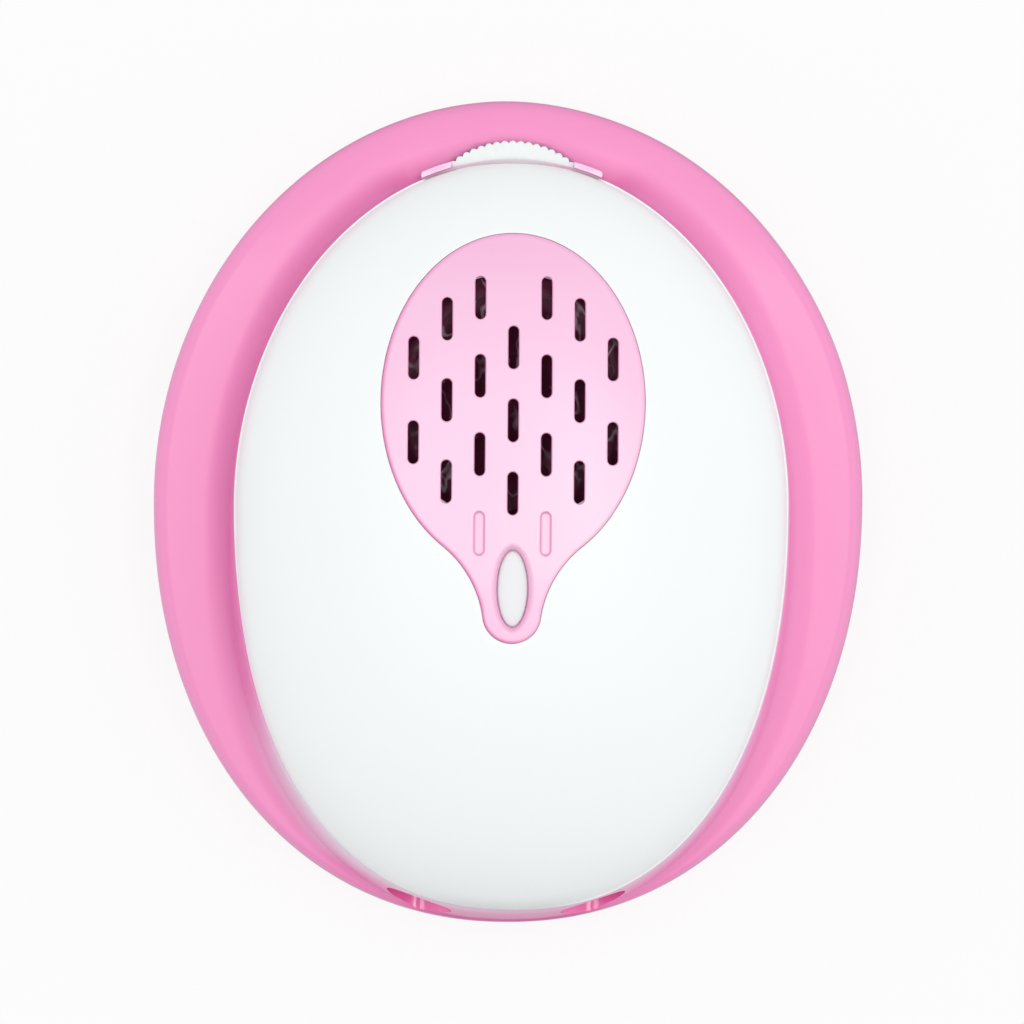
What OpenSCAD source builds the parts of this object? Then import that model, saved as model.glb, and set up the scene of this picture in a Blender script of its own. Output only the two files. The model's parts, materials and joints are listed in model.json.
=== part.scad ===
// Palm-size fetal doppler, lying on its back with its face up. Sizes are in millimetres.
// X runs across, +Y towards the volume wheel and +Z out of the face.
// The origin lies on the surface that the back rests on, below the middle of the case.

/* [Case outline] */
// Width over the ring's rim
ring_w = 95; // [92:0.5:100]
// Length over the ring's rim
ring_l = 110; // [108:0.5:114]
// How far the widest place lies above the middle
ring_wide_y = 1.5; // [0:0.5:3]
// From the rim in to the front cover, at the sides
cover_gap_side = 11; // [10:0.1:12]
// From the rim in to the front cover, at the wheel
cover_gap_top = 8.5; // [8:0.05:9.5]
// From the rim in to the front cover, at the earphone pockets
cover_gap_low = 2.45; // [2:0.05:2.6]
// From the rim in to the flat land of the back, at the sides
land_gap_side = 11.5; // [10.5:0.5:12.5]
// From the rim in to the land, at the wheel
land_gap_top = 17; // [16:0.5:18]
// From the rim in to the land, at the earphone pockets
land_gap_low = 15; // [14:0.5:16]

/* [Case heights] */
// From the land to the crown of the front cover
case_h = 40; // [39:0.5:43]
// From the crown down to the joint of front cover and ring
cover_rise = 16; // [15:0.5:17]
// From that joint down to the rim, in the middle
rim_drop = 10.2; // [9.8:0.1:11]
// Rise of the rim for each millimetre towards the wheel
rim_slope = 0.051; // [0.045:0.001:0.055]
// Thickness of the three shells
wall = 2; // [1.8:0.1:2.2]
// Thickness of the rear cover's floor over the battery door
floor_t = 3.6; // [3.4:0.1:4]

/* [Ring surface] */
// Height of the brim's crest over its rim
brim_rise = 3; // [2.6:0.1:3.2]
// Radius from the crest out to the rim
brim_edge_r = 2; // [1.6:0.1:3]
// Width of the hollow between crest and wall
cove_w = 4.2; // [3.6:0.1:4.6]
// Height of that hollow at the sides
cove_h = 3.2; // [2.6:0.1:3.4]
// Height that is left of it at the wheel
cove_least = 0.3; // [0.2:0.05:0.5]
// Share of it that fades towards the earphone pockets
cove_loss = 0.7; // [0.6:0.05:0.8]
// How far the ring's lip stands out from the front cover
lip_out = 0.25; // [0.2:0.05:0.35]
// Lean of the ring's wall at the wheel
foot_top = 0.45; // [0.4:0.05:0.6]
// Lean of the ring's wall at the earphone pockets
foot_low = 1.85; // [1.7:0.05:1.9]

/* [Grille] */
// Half width of the grille's bowl
grille_a = 17.45; // [17.2:0.05:18]
// Half length of the grille's bowl
grille_b = 22.35; // [22:0.05:22.8]
// Height of the bowl's centre above the middle
grille_y = 14.5; // [14:0.1:15]
// Radius of the tip
tip_r = 3.95; // [3.8:0.05:4.4]
// Place of the tip's centre along Y
tip_y = -13.25; // [-13.8:0.05:-13]
// Radius of the hollow flanks between bowl and tip
flank_r = 14.4; // [12:0.1:16]
// Thickness of the grille plate
grille_t = 1.3; // [1.1:0.1:1.5]
// Width of a sound slot
slot_w = 1.36; // [1.2:0.02:1.6]
// Length of a sound slot
slot_l = 5.6; // [5.2:0.1:6]
// Distance between columns of slots
slot_step = 4.35; // [4.2:0.05:4.5]
// Depth of the two blind slots
blind_d = 0.4; // [0.3:0.1:0.6]
// Half width of the indicator window
window_a = 2.1; // [1.9:0.1:2.3]
// Half length of the indicator window
window_b = 5.15; // [4.8:0.05:5.3]
// Place of the window's centre along Y
window_y = -9.9; // [-10.3:0.1:-9.6]

/* [Volume wheel] */
// Radius over the wheel's teeth
wheel_r = 13; // [12.6:0.1:13.8]
// How far the wheel stands out from the front cover
wheel_out = 2.95; // [2.4:0.05:3.1]
// Thickness of the wheel
wheel_t = 2.6; // [2.2:0.1:2.8]
// Number of teeth
wheel_teeth = 74; // [60:1:90]
// Depth of a tooth
tooth_d = 0.35; // [0.25:0.05:0.45]
// Height of the wheel's slot
slot_h = 3.2; // [3.1:0.05:3.4]
// Half width of the bezel round the slot
bezel_half_w = 11.8; // [11:0.1:13]
// How far the bezel's ends stand out from the front cover
bezel_out = 0.9; // [0.7:0.1:1.1]
// How far its bar over the wheel stands out
bezel_bar_out = 0.1; // [0.05:0.05:0.6]
// Radius of the wheel's shaft
shaft_r = 2; // [1.8:0.1:2.2]
// Radius of the potentiometer's body
pot_r = 8; // [7.5:0.5:9.5]

/* [Earphone jacks] */
// Place of each jack from the middle
jack_x = 11.6; // [11.4:0.1:12]
// Radius of the plug hole
jack_bore_r = 1.8; // [1.75:0.05:1.9]
// Depth of the plug hole
jack_bore_l = 13.7; // [12:0.1:14]
// Radius of the pocket round each jack
pocket_r = 4.3; // [4.2:0.1:4.6]
// Width of a jack's body
jack_w = 7; // [6:0.5:7.5]

/* [Battery] */
// Length of the battery's body
battery_l = 46.4; // [45.5:0.1:47]
// Width of the battery
battery_w = 26.5; // [25.5:0.1:26.8]
// Height of the battery as it lies
battery_h = 17.5; // [16.5:0.1:18]
// Place of the battery's middle along Y
battery_y = -13.4; // [-13.8:0.1:-13.2]
// Thickness of the battery door
door_t = 2; // [1.8:0.1:2.2]
// Width of the battery door
door_w = 60; // [58.5:0.5:61]
// Reach of the door's two rails
rail_out = 1.2; // [1:0.1:1.3]
// Length of the door's two rails
rail_l = 19; // [15:1:20]

/* [Speaker] */
// Radius of the speaker's flange
speaker_r = 18; // [17.5:0.1:18.3]
// Place of the speaker's axis along Y
speaker_y = 15.1; // [14.8:0.1:15.4]
// Height of the speaker from flange to magnet
speaker_h = 7.4; // [6.8:0.1:7.8]
// Radius of the moving cone
cone_r = 14.4; // [13.8:0.1:14.6]
// Radius of the speaker's magnet
magnet_r = 8.5; // [8:0.1:9]

/* [Ultrasound probe] */
// Radius of the probe's window
probe_r = 15; // [14:0.5:15.5]
// Place of the probe's axis along Y
probe_y = 20; // [19.5:0.5:20.5]
// Height of the probe with its can
probe_h = 12.3; // [11:0.1:12.8]

/* [Boards and screws] */
// Thickness of the circuit boards
board_t = 1.6; // [1.2:0.1:1.6]
// Radius of the case screws' shanks
case_screw_r = 1; // [0.9:0.05:1.1]
// Radius of the case screws' heads
case_head_r = 2.1; // [1.9:0.1:2.2]
// Radius of the wires
wire_r = 0.45; // [0.35:0.05:0.5]

/* [Hidden] */

$fn = 64;
segments = 72;             // points round each shell
around = [for (j = [0:segments - 1]) 360 * j / segments];
fit = 0.15;                // room round a piece in its seat
slip = 0.1;                // room for a piece that slides or turns
rest_gap = 0.3;            // room between a soft or moving piece and what carries it
inside = 1;                // how far a cutting tool runs past what it cuts
plastic_ring = "#f9a0d0";
plastic_pale = "#fbc8e6";
plastic_white = "#f6f8fa";

// Case outline: half widths and the reach each way from the widest place
ring_a = ring_w / 2;
ring_f = ring_l / 2 - ring_wide_y;
ring_b = ring_l / 2 + ring_wide_y;
cover_wide_y = 1;
cover_powers = [1.98, 2.28];   // corner powers towards the wheel and towards the pockets
cover_a = ring_a - cover_gap_side;
cover_f = ring_l / 2 - cover_gap_top - cover_wide_y;
cover_b = ring_l / 2 - cover_gap_low + cover_wide_y;
land_a = ring_a - land_gap_side;
land_f = ring_f - land_gap_top;
land_b = ring_b - land_gap_low;

// Heights
joint_z = case_h - cover_rise;
rim_z = joint_z - rim_drop;
dome_power = 2.4;
dome_angles = [90, 84, 76, 67, 57, 46, 35, 24, 14, 4];
face_angles = [57, 46, 35, 24, 14, 4];

// Volume wheel
slot_z = joint_z - 0.8 - slot_h;
bezel_z = slot_z - 0.4;
bezel_in = 0.6;
bar_half_w = bezel_half_w - 4;
wheel_z = slot_z + (slot_h - wheel_t) / 2;
pot_top_z = slot_z - 0.3;
wheel_y = cover_wide_y + cover_f + wheel_out - wheel_r;
wheel_board_z = slot_z - 5.5;
pot_h = pot_top_z - wheel_board_z - board_t;
pot_shoulder = 0.8;
shaft_hole_d = wheel_t + 1;
shaft_foot_z = wheel_board_z + board_t + 1.2;
wheel_posts = [[18.5, wheel_y - 6.2], [10, wheel_y + 4.6]];
wheel_sweep_r = wheel_r + 0.35;
dish_r = wheel_r - 3;
hub_r = shaft_r + 2.5;

// Earphone jacks
jack_h = 5.6;
pocket_floor_y = -(ring_l / 2 - 5.8);
pocket_floor_t = 2;
pocket_wall = 0.9;
nose_r = 3;
jack_back_y = pocket_floor_y + jack_bore_l + 1.2;

// Battery and its bay
battery_z = door_t + rest_gap;
battery_x = -3.2;
snap_t = 2.6;
snap_r = 6.3;
terminal_h = 2.3;
terminal_y = 6.35;
bay_half_x = battery_l / 2 + 3.7;
bay_half_y = battery_w / 2 + 0.65;
bay_wall = 1.2;
bay_wall_top = floor_t + 5.4;
door_top_y = battery_y + bay_half_y + bay_wall / 2;
rail_z = 0.8;
rail_t = 0.8;
door_end_t = 0.6;          // thickness left at the door's round end
pad_t = 1.3;
pad_l = battery_l - 10;
pad_w = battery_w - 8.5;
board_z = battery_z + battery_h + pad_t + slip;
jack_z = board_z - jack_h / 2;
board_posts = [[23.5, 4.6], [23.5, -31]];
board_top_y = 20;
board_half_w = 26;
board_step_y = -33;
board_tongue_half_w = 16.6;
board_low_y = pocket_floor_y + 5.7;

// Speaker
speaker_z = board_z + 11.8;
gasket_t = 0.4;
sound_r = speaker_r - 1.7;
seat_r = speaker_r + 1.2;
speaker_boss_r = 1.5;
speaker_screw_r = speaker_r + speaker_boss_r + slip;
washer_r = 2;
washer_t = 0.9;
flange_t = 0.6;
surround_t = 0.2;
coil_r = 5.9;
cap_r = 11.2;
cap_t = 0.4;
cone_d = 2.6;
magnet_t = 3.2;
magnet_top_z = speaker_z - speaker_h + magnet_t;

// Probe
window_flange_t = 1.2;
window_flange_r = probe_r + 2.2;
ear_r = window_flange_r + 2.2;
seal_t = 0.5;
can_z = floor_t + seal_t + window_flange_t;
can_t = 0.6;
ear_w = 4.4;
ear_angles = [-10, 90, 190];

// Small screws: shank, head, the hole in a board and the hole in a post
small_screw_r = 0.8;
small_head_r = 1.8;
small_head_t = 1.2;
small_hole_r = 1;
pilot_r = 0.9;
post_r = 2.4;
wheel_post_r = 2.2;
ear_boss_r = 2;
ear_screw_r = 0.7;
post_bite = 5;             // how far a screw reaches into its post
pilot_d = 7;               // how deep the hole in a post is

// Case screws: place, then the height at which rear and front columns meet
case_screw_at = [[24, 26], [20.5, -37]];
column_z = 14;
column_r = 3.4;
boss_r = 3;
head_seat_z = 8;
head_t = 1.8;

// ---- Curves that the shells share ----

// A smooth step from 0 to 1 as x goes from a to b
function ease(a, b, x) = let (u = min(1, max(0, (x - a) / (b - a)))) u * u * (3 - 2 * u);
// A place in the plane, raised to a height
function up(p, z) = [p[0], p[1], z];
// An egg: half width a, reach f to +Y and b to -Y of its widest place, with corner powers
function egg(a, f, b, wide_y, pf, pb, t) =
    let (c = cos(t), s = sin(t), h = s >= 0 ? f : b, p = s >= 0 ? pf : pb)
    [a * sign(c) * pow(abs(c), 2 / p), wide_y + h * sign(s) * pow(abs(s), 2 / p)];
function ring_pt(t, o = 0) = egg(ring_a + o, ring_f + o, ring_b + o, ring_wide_y, 2, 2.13, t);
function cover_pt(t, o = 0) =
    egg(cover_a + o, cover_f + o, cover_b + o, cover_wide_y, cover_powers[0], cover_powers[1], t);
function land_pt(t, o = 0) = egg(land_a + o, land_f + o, land_b + o, ring_wide_y, 2.2, 2.2, t);
// Height of the plane in which ring and rear cover meet
function rim_at(y) = rim_z + rim_slope * y;
// 0 at the wheel, 1 at the earphone pockets
function low(t) = (1 - sin(t)) / 2;

// Height of the front cover's surface above a place
function dome_z(x, y) =
    let (up = y >= cover_wide_y, h = up ? cover_f : cover_b, p = cover_powers[up ? 0 : 1],
         rho = pow(pow(abs(x) / cover_a, p) + pow(abs(y - cover_wide_y) / h, p), 1 / p))
    joint_z + cover_rise * sqrt(max(0, 1 - pow(rho, dome_power)));

// One level line of the dome, whose crown is angle 0 and whose edge is 90
function dome_ring(angle, o = 0) =
    [for (t = around)
        let (mid = [0, cover_wide_y], p = cover_pt(t, o))
        up(mid + pow(sin(angle), 2 / dome_power) * (p - mid),
           joint_z + (cover_rise + o) * cos(angle))];

// How far the bowl has spread from the land to the rim at a share v of its height
function spread(v) = pow(1 - pow(1 - v, 1.6), 1 / 1.8);
function bowl_ring(v, o = 0, z0 = 0) =
    [for (t = around)
        let (g = land_pt(t, o / 2), e = ring_pt(t, o))
        up(g + spread(v) * (e - g), z0 + v * (rim_at(e[1]) - z0))];

// Lean of the ring's wall and height of its hollow, which both change round the case
function foot_out(t) = foot_top + (foot_low - foot_top) * ease(0.35, 0.85, low(t));
function hollow(t) =
    cove_least + (cove_h - cove_least) * (1 - ease(0.88, 0.945, sin(t)))
    * (1 - cove_loss * ease(0.6, 0.9, low(t)));

// The ring's outer section at angle t, from the lip at the joint down to the rim
function ring_outer(t) =
    let (lip = cover_pt(t, lip_out), foot = cover_pt(t, foot_out(t)), rim = ring_pt(t),
         span = norm(rim - foot), out = (rim - foot) / span,
         cw = min(cove_w, 0.5 * span), er = min(brim_edge_r, 0.45 * span),
         foot_z = rim_at(foot[1]) + brim_rise + hollow(t))
    concat(
        [up(lip, joint_z), up((lip + foot) / 2, (joint_z + foot_z) / 2)],
        [for (a = [0, 30, 60, 90])
            let (p = foot + cw * (1 - cos(a)) * out)
            up(p, rim_at(p[1]) + brim_rise + hollow(t) * (1 - sin(a)))],
        [for (a = [0, 30, 60, 90])
            let (p = rim - er * (1 - sin(a)) * out)
            up(p, rim_at(p[1]) + brim_rise * cos(a))]);

// The ring's inner section, which runs past the joint and the rim to cut them open
function ring_inner(t) =
    let (lip = cover_pt(t, lip_out - wall), foot = cover_pt(t, foot_out(t) - wall),
         rim = ring_pt(t, -wall), brim = brim_rise - wall)
    concat(
        [up(lip, joint_z + inside), up(lip, joint_z)],
        [for (k = [[0, 0.9], [0.12, 0.3], [0.4, 0]])
            let (p = foot + k[0] * (rim - foot))
            up(p, rim_at(p[1]) + brim + k[1] * hollow(t))],
        [up(foot + 0.85 * (rim - foot), rim_at((foot + 0.85 * (rim - foot))[1]) + 0.8 * brim),
         up(rim, rim_at(rim[1])), up(rim, rim_at(rim[1]) - inside)]);

// ---- Shared shapes ----

// Joins level rings, lowest first, into one closed solid with flat ends
module loft(rings) {
    n = len(rings[0]);
    m = len(rings);
    polyhedron(
        points = [for (r = rings) each r],
        faces = concat(
            [[for (j = [0:n - 1]) j]],
            [for (i = [0:m - 2], j = [0:n - 1])
                let (a = i * n + j, b = i * n + (j + 1) % n) each [[a, b + n, b], [a, a + n, b + n]]],
            [[for (j = [n - 1:-1:0]) (m - 1) * n + j]]));
}

// Turns a list of sections, one for each angle, into level rings with the last point lowest
function rings_of(sections) =
    [for (k = [len(sections[0]) - 1:-1:0]) [for (s = sections) s[k]]];

module dome(angles = dome_angles) loft([for (a = angles) dome_ring(a)]);
module dome_hollow()
    loft(concat([[for (p = dome_ring(90, -wall)) p - [0, 0, inside]]],
                [for (a = [90, 82, 72, 60, 47, 33, 19, 5]) dome_ring(a, -wall)]));
module bowl(shares = [0, 0.05, 0.14, 0.28, 0.46, 0.66, 0.84, 1])
    loft([for (v = shares) bowl_ring(v)]);
module bowl_hollow()
    loft(concat([for (v = [0, 0.06, 0.18, 0.36, 0.58, 0.8, 1]) bowl_ring(v, -wall, floor_t)],
                [[for (p = bowl_ring(1, -wall, floor_t)) p + [0, 0, inside]]]));

module both_sides() {
    children();
    mirror([1, 0, 0]) children();
}

// A disc or tube about Z: radius, height, hole
module tube(r, h, hole = 0)
    difference() {
        cylinder(r = r, h = h);
        if (hole > 0) translate([0, 0, -inside]) cylinder(r = hole, h = h + 2 * inside);
    }

function arc(c, r, from, to, n) = [for (i = [0:n]) c + r * [cos(from + (to - from) * i / n),
                                                            sin(from + (to - from) * i / n)]];
// A slot standing along Y about the middle, with round ends
function slot_pts(w, l) =
    concat(arc([0, (l - w) / 2], w / 2, 0, 180, 8), arc([0, (w - l) / 2], w / 2, 180, 360, 8));
function oval_pts(a, b) = [for (i = [0:39]) [a * cos(9 * i), b * sin(9 * i)]];

// ---- Grille outline: an oval bowl, hollow flanks and a round tip ----

function bowl_at(f, o) = [(grille_a + o) * cos(f), grille_y + (grille_b + o) * sin(f)];
function bowl_out(f, o) = let (n = [(grille_b + o) * cos(f), (grille_a + o) * sin(f)]) n / norm(n);
// The flank's centre lies flank_r outside the bowl at angle f, and touches the tip at one f
function flank_miss(f, o) =
    norm(bowl_at(f, o) + (flank_r - o) * bowl_out(f, o) - [0, tip_y]) - flank_r - tip_r;
function flank_start(o, from = -85, to = -35, left = 24) =
    let (half = (from + to) / 2)
    left == 0 ? half
    : flank_miss(half, o) > 0 ? flank_start(o, from, half, left - 1)
    : flank_start(o, half, to, left - 1);
function grille_side(o) =
    let (f = flank_start(o), c = bowl_at(f, o) + (flank_r - o) * bowl_out(f, o),
         n = bowl_out(f, o), start = atan2(-n[1], -n[0]),
         stop = atan2(tip_y - c[1], -c[0]), tip_from = atan2(c[1] - tip_y, c[0]))
    concat([for (i = [0:22]) bowl_at(90 + (f - 90) * i / 22, o)],
           [for (p = arc(c, flank_r - o, start, stop, 8)) p],
           [for (i = [1:7]) [0, tip_y] + (tip_r + o) * [cos(tip_from - (tip_from + 90) * i / 7),
                                                         sin(tip_from - (tip_from + 90) * i / 7)]]);
function grille_outline(o = 0) =
    let (side = grille_side(o), n = len(side))
    concat(side, [for (i = [n - 2:-1:1]) [-side[i][0], side[i][1]]]);

// Columns of slots: column number, height of the top slot, distance down the column, slots
slot_columns = [[0, 21.65, 9.55, 3], [1, 28.15, 10.25, 3], [2, 25.35, 10.65, 3], [3, 20.2, 11.05, 2]];
blind_y = slot_columns[1][1] - 3 * slot_columns[1][2];
slot_places = [for (c = slot_columns, side = c[0] == 0 ? [1] : [-1, 1], i = [0:c[3] - 1])
    [side * c[0] * slot_step, c[1] - i * c[2]]];

// ---- Shells ----

module case_columns(r, from, to)
    both_sides() for (p = case_screw_at) translate([p[0], p[1], from]) cylinder(r = r, h = to - from);

module posts(places, from, to, r)
    for (p = places) translate([p[0], p[1], from]) cylinder(r = r, h = to - from);

module probe_ears(z)
    translate([0, probe_y, z]) for (a = ear_angles) rotate([0, 0, a]) translate([ear_r, 0, 0]) children();

module rear_cover() color(plastic_ring) difference() {
    union() {
        difference() {
            bowl();
            bowl_hollow();
        }
        case_columns(column_r, door_t + slip, column_z);
        both_sides() {
            posts(board_posts, door_t + slip, board_z, post_r);
            posts(wheel_posts, floor_t - inside, wheel_board_z, wheel_post_r);
        }
        probe_ears(floor_t - inside) cylinder(r = ear_boss_r, h = can_z - floor_t + inside);
        translate([-bay_half_x - bay_wall, battery_y - bay_half_y - bay_wall, floor_t - inside])
            cube([2 * (bay_half_x + bay_wall), 2 * (bay_half_y + bay_wall),
                  bay_wall_top - floor_t + inside]);
    }
    // Battery bay and the bed of the sliding door
    translate([-bay_half_x, battery_y - bay_half_y, -inside])
        cube([2 * bay_half_x, 2 * bay_half_y, bay_wall_top + 2 * inside]);
    translate([-door_w / 2 - fit, -ring_l, -inside])
        cube([door_w + 2 * fit, ring_l + door_top_y + fit, door_t + slip + inside]);
    both_sides() translate([door_w / 2, -ring_l, rail_z - slip])
        cube([rail_out + fit, ring_l + door_top_y + fit, rail_t + 2 * slip]);
    // Probe opening
    translate([0, probe_y, -inside]) cylinder(r = probe_r + fit, h = floor_t + 2 * inside);
    probe_ears(floor_t) cylinder(r = small_screw_r, h = can_z);
    // Screw holes
    case_columns(case_head_r + 0.3, -inside, head_seat_z);
    case_columns(case_screw_r + 0.3, 0, column_z + inside);
    both_sides() {
        posts(board_posts, board_z - pilot_d, board_z + inside, pilot_r);
        posts(wheel_posts, wheel_board_z - pilot_d, wheel_board_z + inside, pilot_r);
    }
}

// A band along the cover's outline that holds the wheel's slot
module bezel_area(out, grow = 0) {
    end = acos((bezel_half_w + grow) / cover_a);
    n = 14;
    angles = [for (i = [0:n]) end + (180 - 2 * end) * i / n];
    polygon(concat([for (t = angles) cover_pt(t, -bezel_in - grow)],
                   [for (i = [n:-1:0]) cover_pt(angles[i], out)]));
}

module side_ring() color(plastic_ring) difference() {
    loft(rings_of([for (t = around) ring_outer(t)]));
    difference() {
        loft(rings_of([for (t = around) ring_inner(t)]));
        both_sides() translate([jack_x, pocket_floor_y + pocket_floor_t, jack_z])
            rotate([90, 0, 0]) cylinder(r = pocket_r + pocket_wall, h = 3 * inside + pocket_floor_t + 4);
    }
    // Earphone pockets and the holes behind them
    both_sides() translate([jack_x, pocket_floor_y, jack_z]) rotate([90, 0, 0]) {
        cylinder(r = pocket_r, h = 12);
        translate([0, 0, -pocket_floor_t - inside])
            cylinder(r = nose_r + slip, h = pocket_floor_t + 2 * inside);
    }
    // Seat of the bezel and the room that the wheel turns in
    translate([0, 0, bezel_z - slip]) linear_extrude(height = joint_z - bezel_z + slip + inside)
        bezel_area(bezel_out + inside, slip);
    translate([0, wheel_y, slot_z]) cylinder(r = wheel_sweep_r, h = slot_h);
}

module front_bosses(from, to) case_columns(boss_r, from, to);

module front_cover() color(plastic_white) difference() {
    union() {
        dome();
        front_bosses(column_z, joint_z + 0.5);
    }
    difference() {
        dome_hollow();
        front_bosses(joint_z - 2 * inside, case_h);
        translate([0, speaker_y, speaker_z + gasket_t]) tube(seat_r, case_h, sound_r);
        speaker_places() translate([0, 0, speaker_z - flange_t]) cylinder(r = speaker_boss_r, h = case_h);
    }
    // Seat of the grille, and the openings for sound and light below it
    difference() {
        translate([0, 0, joint_z + 2]) linear_extrude(height = cover_rise) polygon(grille_outline(fit));
        translate([0, 0, -grille_t - slip]) dome(face_angles);
    }
    translate([0, speaker_y, joint_z]) cylinder(r = sound_r, h = cover_rise + inside);
    translate([0, window_y, joint_z]) linear_extrude(height = cover_rise + inside)
        polygon(oval_pts(window_a + slip, window_b + slip));
    front_screw_holes();
}

module front_screw_holes() {
    case_columns(case_screw_r + slip, column_z - inside, joint_z);
    speaker_places() translate([0, 0, speaker_z - 2]) cylinder(r = small_screw_r, h = 3.4);
}

module speaker_places()
    for (a = [10, 170, 225, 315])
        translate([speaker_screw_r * cos(a), speaker_y + speaker_screw_r * sin(a), 0]) children();

module speaker_grille() color(plastic_pale) difference() {
    intersection() {
        dome(face_angles);
        translate([0, 0, joint_z]) linear_extrude(height = cover_rise + inside) polygon(grille_outline());
    }
    translate([0, 0, -grille_t]) dome(face_angles);
    for (p = slot_places) translate([p[0], p[1], joint_z])
        linear_extrude(height = cover_rise + inside) polygon(slot_pts(slot_w, slot_l));
    difference() {
        both_sides() translate([slot_step, blind_y, joint_z])
            linear_extrude(height = cover_rise + inside) polygon(slot_pts(slot_w + 0.1, slot_l + 0.2));
        translate([0, 0, -blind_d]) dome(face_angles);
    }
    translate([0, window_y, joint_z]) linear_extrude(height = cover_rise + inside)
        polygon(oval_pts(window_a, window_b));
}

module indicator_lens() color("#f2f2f4") {
    top = dome_z(0, window_y - window_b);
    translate([0, window_y, top - 4]) linear_extrude(height = 3.8)
        polygon(oval_pts(window_a - slip, window_b - slip));
    translate([0, window_y, board_z + board_t + 2.7]) cylinder(r = 1.5, h = top - board_z - board_t - 6.7);
}

// ---- Volume wheel ----

module wheel_bezel() color(plastic_pale) difference() {
    translate([0, 0, bezel_z]) linear_extrude(height = joint_z - bezel_z) bezel_area(bezel_out);
    // Over the wheel only a narrow bar is left
    translate([0, 0, slot_z]) linear_extrude(height = case_h) difference() {
        translate([-bar_half_w, 0]) square([2 * bar_half_w, ring_l]);
        polygon([for (t = around) cover_pt(t, bezel_bar_out)]);
    }
    translate([0, wheel_y, slot_z]) cylinder(r = wheel_sweep_r, h = slot_h);
}

function tooth_pt(a) = (wheel_r - tooth_d * (1 - abs(sin(wheel_teeth * a / 2)))) * [cos(a), sin(a)];

module volume_wheel() color(plastic_white) translate([0, wheel_y, 0]) difference() {
    translate([0, 0, wheel_z]) linear_extrude(height = wheel_t)
        polygon([for (i = [0:6 * wheel_teeth - 1]) tooth_pt(60 * i / wheel_teeth)]);
    translate([0, 0, wheel_z - inside]) cylinder(r = shaft_r + 0.03, h = wheel_t + 2 * inside);
    translate([0, 0, wheel_z + wheel_t - 0.8]) tube(dish_r, 2, hub_r);
}

module wheel_shaft() color("#c9ccd0") translate([0, wheel_y, shaft_foot_z])
    difference() {
        cylinder(r = shaft_r, h = wheel_z + wheel_t - shaft_foot_z);
        translate([0, 0, wheel_z + wheel_t - shaft_foot_z - shaft_hole_d])
            cylinder(r = small_screw_r + 0.05, h = shaft_hole_d + inside);
    }

module wheel_screw() color("#b8bcc2") translate([0, wheel_y, wheel_z + wheel_t]) {
    difference() {
        cylinder(r = shaft_r + 0.7, h = small_head_t);
        for (a = [0, 90]) rotate([0, 0, a]) translate([-1.4, -0.25, 0.6]) cube([2.8, 0.5, 1]);
    }
    translate([0, 0, 1 - shaft_hole_d]) cylinder(r = small_screw_r, h = shaft_hole_d - 0.9);
}

module potentiometer_body() color("#3a3d42") translate([0, wheel_y, wheel_board_z + board_t]) {
    difference() {
        union() {
            cylinder(r = pot_r, h = pot_h - pot_shoulder);
            cylinder(r = shaft_r + 1.4, h = pot_h);
        }
        translate([0, 0, inside]) cylinder(r = shaft_r + 0.06, h = pot_h);
    }
}

module wheel_board() color("#2f7d4f") difference() {
    translate([0, 0, wheel_board_z]) linear_extrude(height = board_t) hull()
        both_sides() for (p = wheel_posts) translate(p) circle(r = wheel_post_r + 0.8, $fn = 32);
    both_sides() posts(wheel_posts, wheel_board_z - inside, wheel_board_z + board_t + inside, small_hole_r);
}

// A pan-head screw that hangs from a height: head radius and height, shank radius and length
module pan_screw(head_r, head_h, shank_r, shank_l) {
    difference() {
        cylinder(r = head_r, h = head_h);
        for (a = [0, 90]) rotate([0, 0, a])
            translate([-head_r * 0.6, -0.2, head_h * 0.5]) cube([head_r * 1.2, 0.4, head_h]);
    }
    translate([0, 0, -shank_l]) cylinder(r = shank_r, h = shank_l + head_h * 0.2);
}

module small_screws(places, z) color("#b8bcc2") both_sides() for (p = places)
    translate([p[0], p[1], z]) pan_screw(small_head_r, small_head_t, small_screw_r, board_t + post_bite);

module wheel_board_screws() small_screws(wheel_posts, wheel_board_z + board_t);

// ---- Electronics ----

module board_outline() polygon([for (s = [1, -1]) each
    [for (p = s > 0
        ? [[board_half_w, board_top_y], [board_half_w, board_step_y],
           [board_tongue_half_w, board_step_y], [board_tongue_half_w, board_low_y]]
        : [[board_tongue_half_w, board_low_y], [board_tongue_half_w, board_step_y],
           [board_half_w, board_step_y], [board_half_w, board_top_y]]) [s * p[0], p[1]]]]);

module main_board() color("#2f7d4f") difference() {
    translate([0, 0, board_z]) linear_extrude(height = board_t) board_outline();
    both_sides() posts(board_posts, board_z - inside, board_z + board_t + inside, small_hole_r);
}

// Chips as place, width, length and height
chips = [[-13, -17, 9, 6, 1.6], [12, -20, 10, 10, 1.2], [-12, 12, 6, 5, 1.5], [0, 12, 5, 5, 1.2],
         [13, 13, 8, 4, 1.5], [-15, -29, 5, 4, 1.4], [5, -32, 6, 4, 1.4]];
module board_chips() color("#26282c") for (c = chips)
    translate([c[0] - c[2] / 2, c[1] - c[3] / 2, board_z + board_t]) cube([c[2], c[3], c[4]]);

// Electrolytic cans as place, radius and height
capacitors = [[-21, -6, 3.1, 6], [21, -6, 3.1, 6], [-21.5, -20, 2.5, 5], [21.5, -27.5, 2, 5]];
module board_capacitors() color("#5b6470") for (c = capacitors)
    translate([c[0], c[1], board_z + board_t]) cylinder(r = c[2], h = c[3]);

module indicator_led() color("#d8f0c8") translate([0, window_y, board_z + board_t]) {
    translate([-1.7, -1.5, 0]) cube([3.4, 3, 1.6]);
    translate([0, 0, 1.5]) cylinder(r = 1.2, h = 0.9);
}

module board_screws() small_screws(board_posts, board_z + board_t);

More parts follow.
